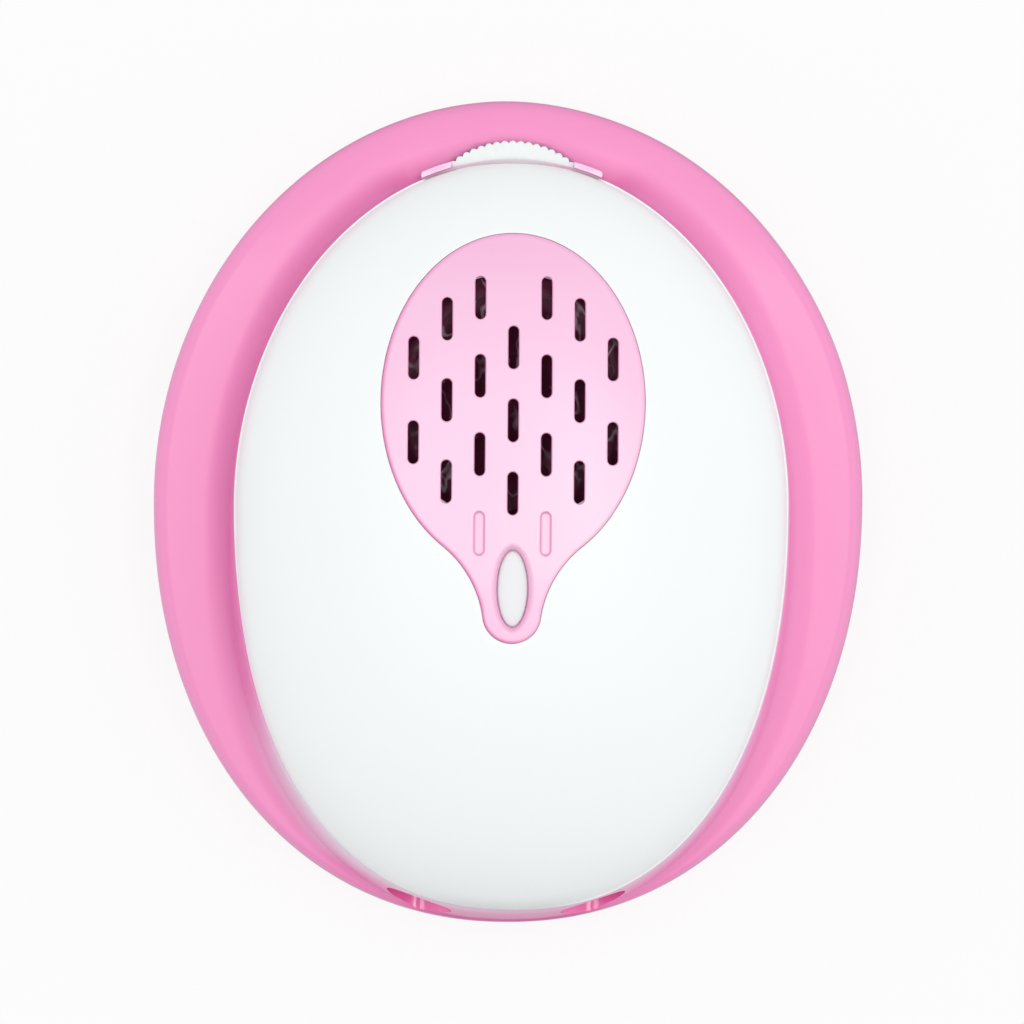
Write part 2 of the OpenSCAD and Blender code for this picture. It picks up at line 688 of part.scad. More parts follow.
module earphone_jack() color("#202226") difference() {
    union() {
        translate([-jack_w / 2, pocket_floor_y + pocket_floor_t + rest_gap, board_z - jack_h])
            cube([jack_w, jack_back_y - pocket_floor_y - pocket_floor_t - rest_gap, jack_h]);
        translate([0, pocket_floor_y + pocket_floor_t + 2 * rest_gap, jack_z]) rotate([90, 0, 0])
            cylinder(r = nose_r, h = pocket_floor_t + 2 * rest_gap);
    }
    translate([0, pocket_floor_y + jack_bore_l, jack_z]) rotate([90, 0, 0])
        cylinder(r = jack_bore_r, h = jack_bore_l + inside);
}
module earphone_jack_left() translate([-jack_x, 0, 0]) earphone_jack();
module earphone_jack_right() translate([jack_x, 0, 0]) earphone_jack();

// ---- Battery ----

module battery() color("#3b3f46")
    translate([battery_x - battery_l / 2, battery_y - battery_w / 2, battery_z])
        cube([battery_l, battery_w, battery_h]);

module battery_terminals() color("#c8a24a") for (k = [[-1, 2.9], [1, 4]])
    translate([battery_x + battery_l / 2, battery_y + k[0] * terminal_y, battery_z + battery_h / 2])
        rotate([0, 90, 0]) cylinder(r = k[1], h = terminal_h);

module battery_snap() color("#1f2023")
    translate([battery_x + battery_l / 2 + terminal_h, battery_y, battery_z + battery_h / 2])
        rotate([0, 90, 0]) difference() {
            union() {
                translate([-snap_r, -snap_r, 0]) cube([2 * snap_r, 2 * snap_r, snap_t]);
                for (s = [-1, 1]) translate([0, s * snap_r, 0]) cylinder(r = snap_r, h = snap_t);
            }
            for (s = [-1, 1]) translate([0, s * terminal_y, snap_t - 0.5]) cylinder(r = 2, h = inside);
        }

module battery_pad() color("#55585e")
    translate([battery_x - pad_l / 2, battery_y - pad_w / 2, battery_z + battery_h])
        cube([pad_l, pad_w, pad_t]);

// Thumb grip of the door: grooves that get shorter towards both ends of the row
grips = 6;
grip_half_w = 9;
grip_taper = 0.7;
grip_step = 1.9;
grip_y = -37;
groove_w = 0.8;
groove_d = 0.45;

module battery_door() color(plastic_ring) difference() {
    union() {
        intersection() {
            bowl([0, 0.05, 0.14, 0.28]);
            translate([-door_w / 2, -ring_l, -inside]) cube([door_w, ring_l + door_top_y, door_t + inside]);
            translate([0, 0, -inside]) linear_extrude(height = door_t + 2 * inside)
                polygon([for (p = bowl_ring((door_t - door_end_t) / rim_at(-ring_l / 2))) [p[0], p[1]]]);
        }
        both_sides() translate([door_w / 2 - 1, door_top_y - 1 - rail_l, rail_z])
            cube([rail_out + 1, rail_l, rail_t]);
    }
    // Thumb grip: a row of shallow grooves near the round end
    for (i = [0:grips - 1])
        let (half_w = grip_half_w - grip_taper * abs(i - (grips - 1) / 2))
            translate([-half_w, grip_y + grip_step * i, -inside])
                cube([2 * half_w, groove_w, groove_d + inside]);
}

// ---- Speaker ----

module speaker_part(c) color(c) translate([0, speaker_y, 0]) children();

module speaker_basket() speaker_part("#6b6f76") rotate_extrude() polygon([
    [cone_r + 2.2, speaker_z - flange_t], [speaker_r, speaker_z - flange_t], [speaker_r, speaker_z],
    [cone_r + 1.6, speaker_z], [cone_r + 0.8, speaker_z - 1.2], [magnet_r + 0.7, magnet_top_z + 0.6],
    [coil_r + 1, magnet_top_z + 0.6], [coil_r + 1, magnet_top_z],
    [magnet_r + 0.7, magnet_top_z], [cone_r + 1.4, speaker_z - 2]]);

module speaker_magnet() speaker_part("#4a4d52") rotate_extrude() polygon([
    [0, magnet_top_z - magnet_t], [magnet_r, magnet_top_z - magnet_t], [magnet_r, magnet_top_z],
    [coil_r + 0.6, magnet_top_z], [coil_r + 0.6, magnet_top_z - 2.2],
    [coil_r - 0.8, magnet_top_z - 2.2], [coil_r - 0.8, magnet_top_z], [0, magnet_top_z]]);

module speaker_surround() speaker_part("#2b1f28") translate([0, 0, speaker_z])
    tube(speaker_r - rest_gap, surround_t, cone_r + rest_gap);

module speaker_gasket() speaker_part("#35363a") translate([0, 0, speaker_z + surround_t])
    tube(speaker_r, gasket_t - surround_t, sound_r);

module speaker_screws() color("#b8bcc2") speaker_places() translate([0, 0, speaker_z - flange_t])
    mirror([0, 0, 1]) pan_screw(washer_r, washer_t, ear_screw_r, 2);

module speaker_cone() speaker_part("#2b1f28") rotate_extrude() polygon([
    [coil_r - 0.4, speaker_z - cone_d], [coil_r + 0.3, speaker_z - cone_d],
    [cone_r - 2, speaker_z - 0.3], [cone_r, speaker_z - 0.3], [cone_r, speaker_z],
    [cone_r - 2.2, speaker_z], [coil_r, speaker_z - cone_d + cap_t],
    [coil_r - 0.4, speaker_z - cone_d + cap_t]]);

module voice_coil() speaker_part("#a8622e") translate([0, 0, magnet_top_z - 1.5])
    tube(coil_r, speaker_z - cone_d - magnet_top_z + 1.5, coil_r - 0.3);

module dust_cap() speaker_part("#2b1f28") intersection() {
    translate([0, 0, speaker_z - cone_d + cap_t - sqrt(pow(cap_r - cap_t, 2) - pow(coil_r - 0.5, 2))])
        difference() {
            sphere(r = cap_r);
            sphere(r = cap_r - cap_t);
        }
    translate([0, 0, speaker_z - cone_d + cap_t]) cylinder(r = coil_r, h = cone_d);
}

// ---- Ultrasound probe ----

module probe_part(c) color(c) translate([0, probe_y, 0]) children();

module probe_window() probe_part("#dfe3e6") rotate_extrude() polygon([
    [0, 0], [probe_r, 0], [probe_r, floor_t + seal_t], [window_flange_r, floor_t + seal_t],
    [window_flange_r, can_z], [probe_r - 1.6, can_z], [probe_r - 1.6, 1.6], [0, 1.6]]);

module probe_seal() probe_part("#2a2b2e") translate([0, 0, floor_t])
    tube(window_flange_r - 0.2, seal_t, probe_r + 0.3);

module probe_crystals() probe_part("#c9b99a") for (s = [0, 180]) rotate([0, 0, s])
    translate([0, 0, 1.6]) difference() {
        cylinder(r = probe_r - 3, h = 1.2);
        translate([-probe_r, -probe_r, -inside]) cube([2 * probe_r, probe_r + 0.5, 4]);
    }

module probe_backing() probe_part("#8a6f52") translate([0, 0, 2.8])
    cylinder(r = probe_r - 2.2, h = 4.6);

module probe_can() probe_part("#b9bdc3") difference() {
    translate([0, 0, can_z]) union() {
        cylinder(r = window_flange_r - 0.6, h = can_t);
        for (a = ear_angles) rotate([0, 0, a]) {
            translate([ear_r, 0, 0]) cylinder(r = ear_w / 2, h = can_t);
            translate([probe_r, -ear_w / 2, 0]) cube([ear_r - probe_r, ear_w, can_t]);
        }
        cylinder(r = probe_r - 0.4, h = probe_h - can_z);
    }
    translate([0, 0, can_z - inside])
        cylinder(r = probe_r - 0.4 - can_t, h = probe_h - can_z + inside - can_t);
    translate([0, -probe_y, 0]) probe_ears(can_z - inside) cylinder(r = small_screw_r, h = 4 * inside);
}

module probe_screws() color("#b8bcc2") probe_ears(can_z + can_t) pan_screw(1.5, 0.9, ear_screw_r, 2.2);

// ---- Fasteners ----

module case_screws() color("#b8bcc2") both_sides() for (p = case_screw_at)
    translate([p[0], p[1], head_seat_z]) mirror([0, 0, 1])
        pan_screw(case_head_r, head_t, case_screw_r, joint_z - head_seat_z - 3);

// ---- Wires, each along a path in a plane of constant x ----

function spline(p, i, u) =
    let (a = i > 0 ? p[i - 1] : 2 * p[0] - p[1], b = p[i], c = p[i + 1],
         d = i + 2 < len(p) ? p[i + 2] : 2 * c - b)
    [0.5 * (2 * b + (c - a) * u + (2 * a - 5 * b + 4 * c - d) * u * u
            + (3 * b - a - 3 * c + d) * u * u * u),
     0.5 * (c - a + 2 * (2 * a - 5 * b + 4 * c - d) * u + 3 * (3 * b - a - 3 * c + d) * u * u)];

module wire(x, path) {
    steps = 3;
    last = len(path) - 2;
    along = concat([for (i = [0:last], k = [0:steps - 1]) spline(path, i, k / steps)],
                   [spline(path, last, 1)]);
    loft([for (q = along)
        let (t = q[1] / norm(q[1]))
        [for (a = [0:45:315])
            [x + wire_r * cos(a), q[0][0] + wire_r * sin(a) * t[1], q[0][1] - wire_r * sin(a) * t[0]]]]);
}

board_foot = board_z - 0.02;
function tag_y(x) = speaker_y - sqrt(pow(speaker_r - 0.7, 2) - x * x);
module speaker_leads() for (k = [["#c23b3b", -5.2], ["#2a2a2a", -7]]) color(k[0]) wire(k[1], [
    [tag_y(k[1]), speaker_z - flange_t - 0.02], [tag_y(k[1]), speaker_z - 1.6],
    [tag_y(k[1]) - 3, speaker_z - 4], [tag_y(k[1]) - 3, board_z + board_t + 2],
    [tag_y(k[1]) - 3, board_z + board_t]]);

snap_x = battery_x + battery_l / 2 + terminal_h + snap_t / 2;
snap_top_z = battery_z + battery_h / 2 + snap_r;
module battery_leads() for (k = [["#c23b3b", 3], ["#2a2a2a", -3]]) color(k[0]) wire(snap_x, [
    [battery_y + k[1], snap_top_z], [battery_y + k[1], snap_top_z + 1],
    [battery_y + 2 * k[1], board_foot - 1], [battery_y + 2 * k[1], board_foot]]);

module probe_cable() color("#d8d8da") for (x = [-9, -7]) wire(x, [
    [probe_y - 8, probe_h], [probe_y - 8, probe_h + 1.5], [probe_y - 12, probe_h + 4.5],
    [probe_y - 12, board_foot - 1.5], [probe_y - 12, board_foot]]);

module wheel_wires() for (k = [["#d9c23a", -12], ["#3b6fc2", -14], ["#c23b3b", -16]]) color(k[0])
    wire(k[1], [
        [wheel_y - 6.5, wheel_board_z + board_t], [wheel_y - 6.5, wheel_board_z + board_t + 1],
        [wheel_y - 11, wheel_board_z + board_t + 3], [board_top_y - 3, board_foot - 1.4],
        [board_top_y - 3, board_foot]]);

rear_cover();
side_ring();
front_cover();
speaker_grille();
indicator_lens();
wheel_bezel();
volume_wheel();
wheel_shaft();
wheel_screw();
potentiometer_body();
wheel_board();
wheel_board_screws();
main_board();
board_chips();
board_capacitors();
indicator_led();
board_screws();
earphone_jack_left();
earphone_jack_right();
battery();
battery_terminals();
battery_snap();
battery_pad();
battery_door();
speaker_basket();
speaker_magnet();
speaker_surround();
speaker_gasket();
speaker_screws();
speaker_cone();
voice_coil();
dust_cap();
probe_window();
probe_seal();
probe_crystals();
probe_backing();
probe_can();
probe_screws();
case_screws();
speaker_leads();
battery_leads();
probe_cable();
wheel_wires();
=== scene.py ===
# %% [markdown]
# # A palm-size fetal doppler
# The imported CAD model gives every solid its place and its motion. This script dresses it: the
# moulded shells are built again with fine, smooth surfaces, every part gets a material made of
# shader nodes, and a plain studio is set up around it. Lengths are in millimetres until a piece
# is finished, because that is how a toolmaker would read them.

import json
import math

import bmesh
import bpy
from mathutils import Matrix, Vector


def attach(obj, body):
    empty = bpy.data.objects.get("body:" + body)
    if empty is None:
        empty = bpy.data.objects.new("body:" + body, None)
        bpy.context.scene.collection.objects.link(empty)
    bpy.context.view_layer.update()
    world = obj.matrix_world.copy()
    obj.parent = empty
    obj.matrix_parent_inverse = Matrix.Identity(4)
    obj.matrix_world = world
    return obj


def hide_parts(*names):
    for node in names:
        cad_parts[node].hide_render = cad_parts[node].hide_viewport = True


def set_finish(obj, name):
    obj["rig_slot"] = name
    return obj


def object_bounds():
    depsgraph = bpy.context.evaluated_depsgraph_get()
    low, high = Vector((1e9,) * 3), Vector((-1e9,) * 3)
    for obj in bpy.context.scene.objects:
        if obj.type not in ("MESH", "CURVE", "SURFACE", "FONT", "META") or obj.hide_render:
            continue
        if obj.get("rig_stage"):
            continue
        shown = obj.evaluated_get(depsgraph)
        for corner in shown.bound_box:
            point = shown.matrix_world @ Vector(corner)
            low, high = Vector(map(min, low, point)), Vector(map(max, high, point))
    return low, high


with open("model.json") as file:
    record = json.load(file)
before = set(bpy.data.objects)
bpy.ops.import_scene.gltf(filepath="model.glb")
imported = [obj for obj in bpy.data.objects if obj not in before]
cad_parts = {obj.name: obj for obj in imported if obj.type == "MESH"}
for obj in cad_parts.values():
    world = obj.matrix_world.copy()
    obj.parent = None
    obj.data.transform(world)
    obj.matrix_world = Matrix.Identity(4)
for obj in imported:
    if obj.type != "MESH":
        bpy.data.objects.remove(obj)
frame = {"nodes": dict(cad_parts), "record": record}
cad_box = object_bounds()

# %% [markdown]
# The camera looks straight down on the face from a metre away, with a long lens. It stands a
# little to the left of the middle and is rolled by half a degree: the raised pieces of the real
# object are shifted and turned by that much against its rim.

# %% Camera
MM = 0.001
TURN = 2 * math.pi
RING_HEIGHT = 14
CAMERA_AWAY = 1000
CAMERA_SIDE, CAMERA_UP = -21.5, 2.1
VIEW_WIDTH = 137.22
SENSOR = 36
ROLL = math.radians(0.47)
AIM = Vector((0.49, 0.08, RING_HEIGHT))

lens_data = bpy.data.cameras.new("camera")
lens_data.sensor_width = SENSOR
lens_data.lens = SENSOR * CAMERA_AWAY / VIEW_WIDTH
lens_data.clip_start = 0.05
lens_data.clip_end = 20
camera = bpy.data.objects.new("camera", lens_data)
bpy.context.scene.collection.objects.link(camera)
stand = Vector((CAMERA_SIDE, CAMERA_UP, RING_HEIGHT + CAMERA_AWAY))
towards = (AIM - stand).normalized()
right = towards.cross(Vector((0, 1, 0))).normalized()
turn = Matrix((right, right.cross(towards), -towards)).transposed()
camera.matrix_world = Matrix.Translation(stand * MM) @ (turn @ Matrix.Rotation(ROLL, 3, "Z")).to_4x4()
bpy.context.scene.camera = camera
print("lens", round(lens_data.lens, 1), "mm")

# %% [markdown]
# ## The curves that all shells share
# Seen from the front the case is made of three eggs, one inside the other: the ring's rim, the
# edge of the front cover and the flat land of the back. Each egg is a superellipse with its own
# reach towards the wheel and towards the earphone pockets. A designer would draw them as guide
# curves and loft the shells between them, and that is what happens here.

# %% Guide curves
SIDES = 360
JOINT = 24.0
RISE = cad_box[1][2] / MM - JOINT
WALL = 2.0
FLOOR = 3.6
LIP = 0.25
CENTRE = Vector((0.18, 1))
EDGE_HALF, EDGE_UP, EDGE_DOWN = 36.55, 45.5, 53.55
EDGE_POWERS = (1.98, 2.28)
RIM = (47.5, 53.5, 56.5, 1.5, 2, 2.13)
LAND = (36, 36.5, 41.5, 1.5, 2.2, 2.2)
FLAT, FLAT_TOWARDS = 0.28, math.radians(57)
PARTING, PARTING_SLOPE = 13.8, 0.051


def egg(half_width, up, down, wide_y, power_up, power_down, turned, grow):
    """A point on an egg at an angle, with every reach made longer by grow."""
    cosine, sine = math.cos(turned), math.sin(turned)
    reach, power = (up, power_up) if sine >= 0 else (down, power_down)
    x = (half_width + grow) * math.copysign(abs(cosine) ** (2 / power), cosine)
    y = (reach + grow) * math.copysign(abs(sine) ** (2 / power), sine)
    return Vector((x, wide_y + y))


def ease(low, high, value):
    share = min(1, max(0, (value - low) / (high - low)))
    return share * share * (3 - 2 * share)


def flat_at(turned):
    """The rim is a little flatter at the upper right."""
    return FLAT * ease(0.8, 1, math.cos(turned - FLAT_TOWARDS))


def rim_at(turned, grow=0.0):
    return egg(*RIM, turned, grow - flat_at(turned))


def edge_at(turned, grow=0.0):
    place = egg(EDGE_HALF, EDGE_UP, EDGE_DOWN, CENTRE.y, *EDGE_POWERS, turned, grow)
    return place + Vector((CENTRE.x, 0))


def land_at(turned, grow):
    return egg(*LAND, turned, grow)


def parting(y):
    """Height of the plane in which the ring and the rear cover meet."""
    return PARTING + PARTING_SLOPE * y


def around(y, radius, at):
    """A place on a circle round a middle at x 0."""
    return radius * math.cos(at), y + radius * math.sin(at)


angles = [TURN * i / SIDES for i in range(SIDES)]
print("case", round(2 * rim_at(0).x, 1), "mm wide, parting line from",
      round(parting(-55), 1), "to", round(parting(55), 1))

# %% [markdown]
# The front cover is a dome over its egg. Every ray from the dome's centre out to the edge has
# the same profile, so the height over any place follows from how far along its ray it lies.

# %% Height of the dome
DOME_POWER = 2.4


def reach_of(direction, grow=0.0):
    """Distance from the dome's centre to the cover's edge in a direction."""
    upwards = direction.y >= 0
    reach, power = (EDGE_UP, EDGE_POWERS[0]) if upwards else (EDGE_DOWN, EDGE_POWERS[1])
    x = abs(direction.x) / (EDGE_HALF + grow)
    y = abs(direction.y) / (reach + grow)
    return (x ** power + y ** power) ** (-1 / power)


def dome_z(place, grow=0.0):
    out = Vector((place[0], place[1])) - CENTRE
    if out.length < 1e-6:
        return JOINT + RISE + grow
    share = out.length / reach_of(out.normalized(), grow)
    return JOINT + (RISE + grow) * math.sqrt(max(0, 1 - share ** DOME_POWER))


def on_dome(places, drop=0.0, grow=0.0):
    """A loop that lies on the dome, or a drop below it."""
    return [(*place, dome_z(place, grow) - drop) for place in places]


print("crown", round(dome_z(CENTRE), 2), "over the grille's top", round(dome_z((0, 36.8)), 2))

# %% [markdown]
# ## Tools for the modelling
# A loft starts as one closed loop of edges. The loop is extruded again and again, and each new
# loop is moved to the next section, the way a potter pulls up a wall. Openings are then cut
# with the exact Boolean, because a moulded shell gets its holes the same way: from cores that
# are pushed through it.

# %% Loft, cut and finish
def first_loop(bm, points):
    verts = bmesh.ops.create_circle(bm, cap_ends=False, radius=1, segments=len(points))["verts"]
    for vert, point in zip(verts, points):
        vert.co = point
    return verts


def edges_of(bm, loop):
    return [bm.edges.get((loop[i - 1], loop[i])) for i in range(len(loop))]


def next_loop(bm, loop, points):
    made = bmesh.ops.extrude_edge_only(bm, edges=edges_of(bm, loop))["geom"]
    fresh = {item for item in made if isinstance(item, bmesh.types.BMVert)}
    twins = []
    for vert, point in zip(loop, points):
        twin = next(e.other_vert(vert) for e in vert.link_edges if e.other_vert(vert) in fresh)
        twin.co = point
        twins.append(twin)
    return twins


def loft(bm, loops, ends="cap"):
    """Pulls one loop through all the sections. Its ends are capped, or joined to each other."""
    start = loop = first_loop(bm, loops[0])
    for points in loops[1:]:
        loop = next_loop(bm, loop, points)
    if ends == "join":
        bmesh.ops.bridge_loops(bm, edges=edges_of(bm, start) + edges_of(bm, loop))
    else:
        bmesh.ops.contextual_create(bm, geom=edges_of(bm, start))
        bmesh.ops.contextual_create(bm, geom=edges_of(bm, loop))


def to_object(name, bm):
    bmesh.ops.remove_doubles(bm, verts=bm.verts, dist=1e-5)
    bmesh.ops.recalc_face_normals(bm, faces=bm.faces)
    mesh = bpy.data.meshes.new(name)
    bm.to_mesh(mesh)
    bm.free()
    piece = bpy.data.objects.new(name, mesh)
    bpy.context.scene.collection.objects.link(piece)
    return piece


def lofted(name, loops, ends="cap"):
    bm = bmesh.new()
    loft(bm, loops, ends)
    return to_object(name, bm)


def combine(piece, tool, how="DIFFERENCE"):
    """Cuts, joins or intersects a piece with a tool, which is used up."""
    modifier = piece.modifiers.new(how.lower(), "BOOLEAN")
    modifier.object = tool
    modifier.operation = how
    modifier.solver = "EXACT"
    bpy.context.view_layer.update()
    graph = bpy.context.evaluated_depsgraph_get()
    mesh = bpy.data.meshes.new_from_object(piece.evaluated_get(graph))
    piece.modifiers.clear()
    old, piece.data = piece.data, mesh
    bpy.data.meshes.remove(old)
    spent = tool.data
    bpy.data.objects.remove(tool)
    bpy.data.meshes.remove(spent)


def finish_piece(piece, body, slot, *replaced, crease=32):
    """Brings a piece to metres, smooths it up to its sharp edges and hands it to its body."""
    piece.data.transform(Matrix.Scale(MM, 4))
    piece.data.shade_smooth()
    piece.data.set_sharp_from_angle(angle=math.radians(crease))
    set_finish(piece, slot)
    if replaced:
        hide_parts(*replaced)
    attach(piece, body)
    print(piece.name, len(piece.data.polygons), "faces")


# %% [markdown]
# Simple cores: a round bar, a block and a flat outline pulled straight up.

# %% Cores
def round_bar(bm, x, y, low, high, radius, segments=96, along="Z"):
    made = bmesh.ops.create_cone(bm, cap_ends=True, segments=segments, radius1=radius,
                                 radius2=radius, depth=high - low)["verts"]
    middle = (low + high) / 2
    if along == "Y":
        bmesh.ops.rotate(bm, verts=made, matrix=Matrix.Rotation(math.pi / 2, 3, "X"))
        bmesh.ops.translate(bm, verts=made, vec=(x, middle, y))
    else:
        bmesh.ops.translate(bm, verts=made, vec=(x, y, middle))
    return made


def block(bm, low, high):
    size = Vector(high) - Vector(low)
    made = bmesh.ops.create_cube(bm, size=1)["verts"]
    bmesh.ops.scale(bm, verts=made, vec=size)
    bmesh.ops.translate(bm, verts=made, vec=Vector(low) + size / 2)


def prism(bm, outline, low, high):
    loft(bm, [[(x, y, z) for x, y in outline] for z in (low, high)])


def core(fill):
    """A tool for combine(), filled in by a function that is given an empty bmesh."""
    bm = bmesh.new()
    fill(bm)
    return to_object("core", bm)


# %% [markdown]
# ## The outline of the grille
# The speaker grille is a ladle: an oval bowl, two hollow flanks and a round tip for the
# indicator window. The flank is an arc that touches the bowl on one side and the tip on the
# other, found by halving until both touch. The same outline serves the grille and its seat.

# %% Ladle outline
BOWL_A, BOWL_B, BOWL_Y = 17.45, 22.35, 14.5
TIP_R, TIP_Y, FLANK_R = 3.95, -13.25, 14.4
BOWL_STEPS, ARC_STEPS = 120, 60


def bowl_point(turned):
    return Vector((BOWL_A * math.cos(turned), BOWL_Y + BOWL_B * math.sin(turned)))


def bowl_normal(turned):
    return Vector((BOWL_B * math.cos(turned), BOWL_A * math.sin(turned))).normalized()


def flank_centre(turned):
    return bowl_point(turned) + FLANK_R * bowl_normal(turned)


def arc(centre, radius, start, stop, side):
    """Places and normals along an arc; a side of -1 turns the normals towards its centre."""
    spans = [start + (stop - start) * i / ARC_STEPS for i in range(ARC_STEPS + 1)]
    outs = [Vector((math.cos(at), math.sin(at))) for at in spans]
    return [(centre + radius * out, side * out) for out in outs]


low, high = math.radians(-85), math.radians(-35)
for _ in range(40):
    touch = (low + high) / 2
    if (flank_centre(touch) - Vector((0, TIP_Y))).length > FLANK_R + TIP_R:
        high = touch
    else:
        low = touch

flank = flank_centre(touch)
right_side = []
for i in range(BOWL_STEPS):
    at = math.pi / 2 + (touch - math.pi / 2) * i / BOWL_STEPS
    right_side.append((bowl_point(at), bowl_normal(at)))
start = math.atan2(-bowl_normal(touch).y, -bowl_normal(touch).x) % TURN
stop = math.atan2(TIP_Y - flank.y, -flank.x) % TURN
right_side += arc(flank, FLANK_R, start, stop, -1)[:-1]
start = math.atan2(flank.y - TIP_Y, flank.x)
right_side += arc(Vector((0, TIP_Y)), TIP_R, start, -math.pi / 2, 1)
left_side = [(Vector((-p.x, p.y)), Vector((-n.x, n.y))) for p, n in reversed(right_side[1:-1])]
ladle = right_side + left_side
print("flank touches the bowl at y", round(bowl_point(touch).y, 2), "mm;", len(ladle), "points")

# %% [markdown]
# The cover's faces run along rays from the dome's centre, so the ladle is sampled where those
# rays cross it. A ray meets it only once, which makes the seat's edge one clean loop.

# %% Ladle on the rays
RAYS = 480
polar = sorted((math.atan2(p.y - CENTRE.y, p.x - CENTRE.x) % TURN, p, n) for p, n in ladle)
first, last = polar[0], polar[-1]
polar = [(last[0] - TURN, *last[1:]), *polar, (first[0] + TURN, *first[1:])]
rays = []
spot = 0
for i in range(RAYS):
    at = TURN * i / RAYS
    while polar[spot + 1][0] < at:
        spot += 1
    (a0, p0, n0), (a1, p1, n1) = polar[spot], polar[spot + 1]
    share = (at - a0) / max(1e-9, a1 - a0)
    direction = Vector((math.cos(at), math.sin(at)))
    rays.append((direction, p0.lerp(p1, share), n0.lerp(n1, share).normalized()))


TRIM = -0.14


def ladle_loop(grow, drop):
    """The ladle's outline grown by some millimetres, lying a drop below the dome."""
    places = [point + (grow + TRIM) * normal for _, point, normal in rays]
    return on_dome(places, drop)


print("rays", len(rays), "tip at", [round(v, 2) for v in rays[RAYS * 3 // 4][1]])

# %% [markdown]
# ## Front cover
# The real cover is one injection moulding, two millimetres thick, in glossy white. Its section
# is followed all the way round: up from the joint over the dome, down the seat of the grille,
# in to the sound opening and back along the inside. The tiny rounds matter most, because they
# catch the light: a bead at the foot draws a bright line round the cover, with a fine shadow
# below it, and a round at the seat softens the edge next to the grille.

# %% Front cover
SEAT_FIT = 0.03
SEAT_DEPTH = 1.4
SOUND_R = 16.3
SOUND = Vector((0, 15.1))
WHEEL_RELIEF, SLOT_SWELL = 0.26, 0.07


def over_slot(place):
    """1 over the wheel's slot, 0 beside it."""
    return (1 - ease(11.2, 12.1, abs(place.x))) * (place.y > 0)


def relief(direction):
    """How far the cover's edge stays back over the wheel."""
    reach = direction * reach_of(direction)
    over_wheel = (1 - ease(0, 10, abs(reach.x))) * (reach.y > 0)
    return WHEEL_RELIEF * over_wheel - SLOT_SWELL * over_slot(reach)


reliefs = [relief(direction) for direction, _, _ in rays]
edge = [CENTRE + ray[0] * (reach_of(ray[0]) - back) for ray, back in zip(rays, reliefs)]
inner_edge = [CENTRE + direction * reach_of(direction, -WALL) for direction, _, _ in rays]
opening = []
for _, point, _ in rays:
    out = (point - Vector((0, 9))).normalized()
    opening.append(SOUND + SOUND_R * out)


def beaded(out):
    """The foot's loop pushed out, which fades at the wheel and towards the lower left."""
    loop = []
    for (direction, _, _), place in zip(rays, edge):
        lower_left = ease(0.6, 0.9, -direction.dot(Vector((0.6, 0.8))))
        loop.append(place + direction * out * (1 - over_slot(place)) * (1 - 0.75 * lower_left))
    return loop


BEAD = ((0.1, 0.01), (0.21, 0.05), (0.26, 0.14), (0.24, 0.23), (0.16, 0.3), (0.03, 0.34),
        (-0.02, 0.42))
SEAT_ROUND = ((0.16, 0), (0.08, 0.02), (0.02, 0.07), (0, 0.16), (0, SEAT_DEPTH))
DOME_STEPS, LEDGE_STEPS, INSIDE_STEPS = 44, 6, 24
loops = [[(*p, JOINT) for p in inner_edge]]
loops += [[(*p, JOINT + z) for p in beaded(out)] for out, z in BEAD]
seat_top = [Vector(p[:2]) for p in ladle_loop(SEAT_FIT + SEAT_ROUND[0][0], 0)]
for k in range(DOME_STEPS - 3, 0, -1):
    loop = []
    for (direction, _, _), inner, outer in zip(rays, seat_top, edge):
        share = (inner - CENTRE).length / reach_of(direction)
        lean = math.asin(min(1, share ** (DOME_POWER / 2)))
        lean += (math.pi / 2 - lean) * k / DOME_STEPS
        along = (math.sin(lean) ** (2 / DOME_POWER) - share) / (1 - share)
        place = inner.lerp(outer, along)
        loop.append((*place, dome_z(place)))
    loops.append(loop)
loops += [ladle_loop(SEAT_FIT + grow, drop) for grow, drop in SEAT_ROUND]
seat_foot = [Vector(p[:2]) for p in loops[-1]]
for k in range(1, LEDGE_STEPS + 1):
    places = [a.lerp(b, k / LEDGE_STEPS) for a, b in zip(seat_foot, opening)]
    loops.append(on_dome(places, SEAT_DEPTH))
for k in range(INSIDE_STEPS):
    share = math.sin(k / INSIDE_STEPS * math.pi / 2)
    places = [a.lerp(b, share) for a, b in zip(opening, inner_edge)]
    loops.append(on_dome(places, grow=-WALL))
cover = lofted("front_cover_shell", loops, ends="join")
finish_piece(cover, "case", "white_shell", "front_cover")

# %% [markdown]
# ## Side ring
# The ring carries the whole shape. From a lip under the cover a wall drops with a slight
# draft, turns through a hollow into a flat brim and rolls over a round edge to the parting
# line. The hollow is deep at the sides and fades towards the wheel. All of that is one section
# whose numbers change round the case, so it is lofted, like the CAD solid but far finer.

# %% Section of the ring
BRIM, EDGE_R, RIM_EDGE = 3.0, 2.0, 0.1
COVE_W, COVE_H, COVE_LEAST, COVE_LOSS = 4.2, 3.2, 0.3, 0.7
CROWN_POWER = 2.2
ROUND_STEPS = 10


def low_end(turned):
    """0 at the wheel, 1 at the earphone pockets."""
    return (1 - math.sin(turned)) / 2


def foot_out(turned):
    return 0.45 + 1.4 * ease(0.35, 0.85, low_end(turned))


def hollow(turned):
    fade = (1 - ease(0.88, 0.945, math.sin(turned))) * (1 - COVE_LOSS * ease(0.6, 0.9, low_end(turned)))
    return COVE_LEAST + (COVE_H - COVE_LEAST) * fade


def crown(share):
    """Height of the brim near the wheel, where it is one round fall from the wall to the rim."""
    fall = max(0, 1 - share ** CROWN_POWER) ** (1 / CROWN_POWER)
    return RIM_EDGE + (BRIM + COVE_LEAST - RIM_EDGE) * fall


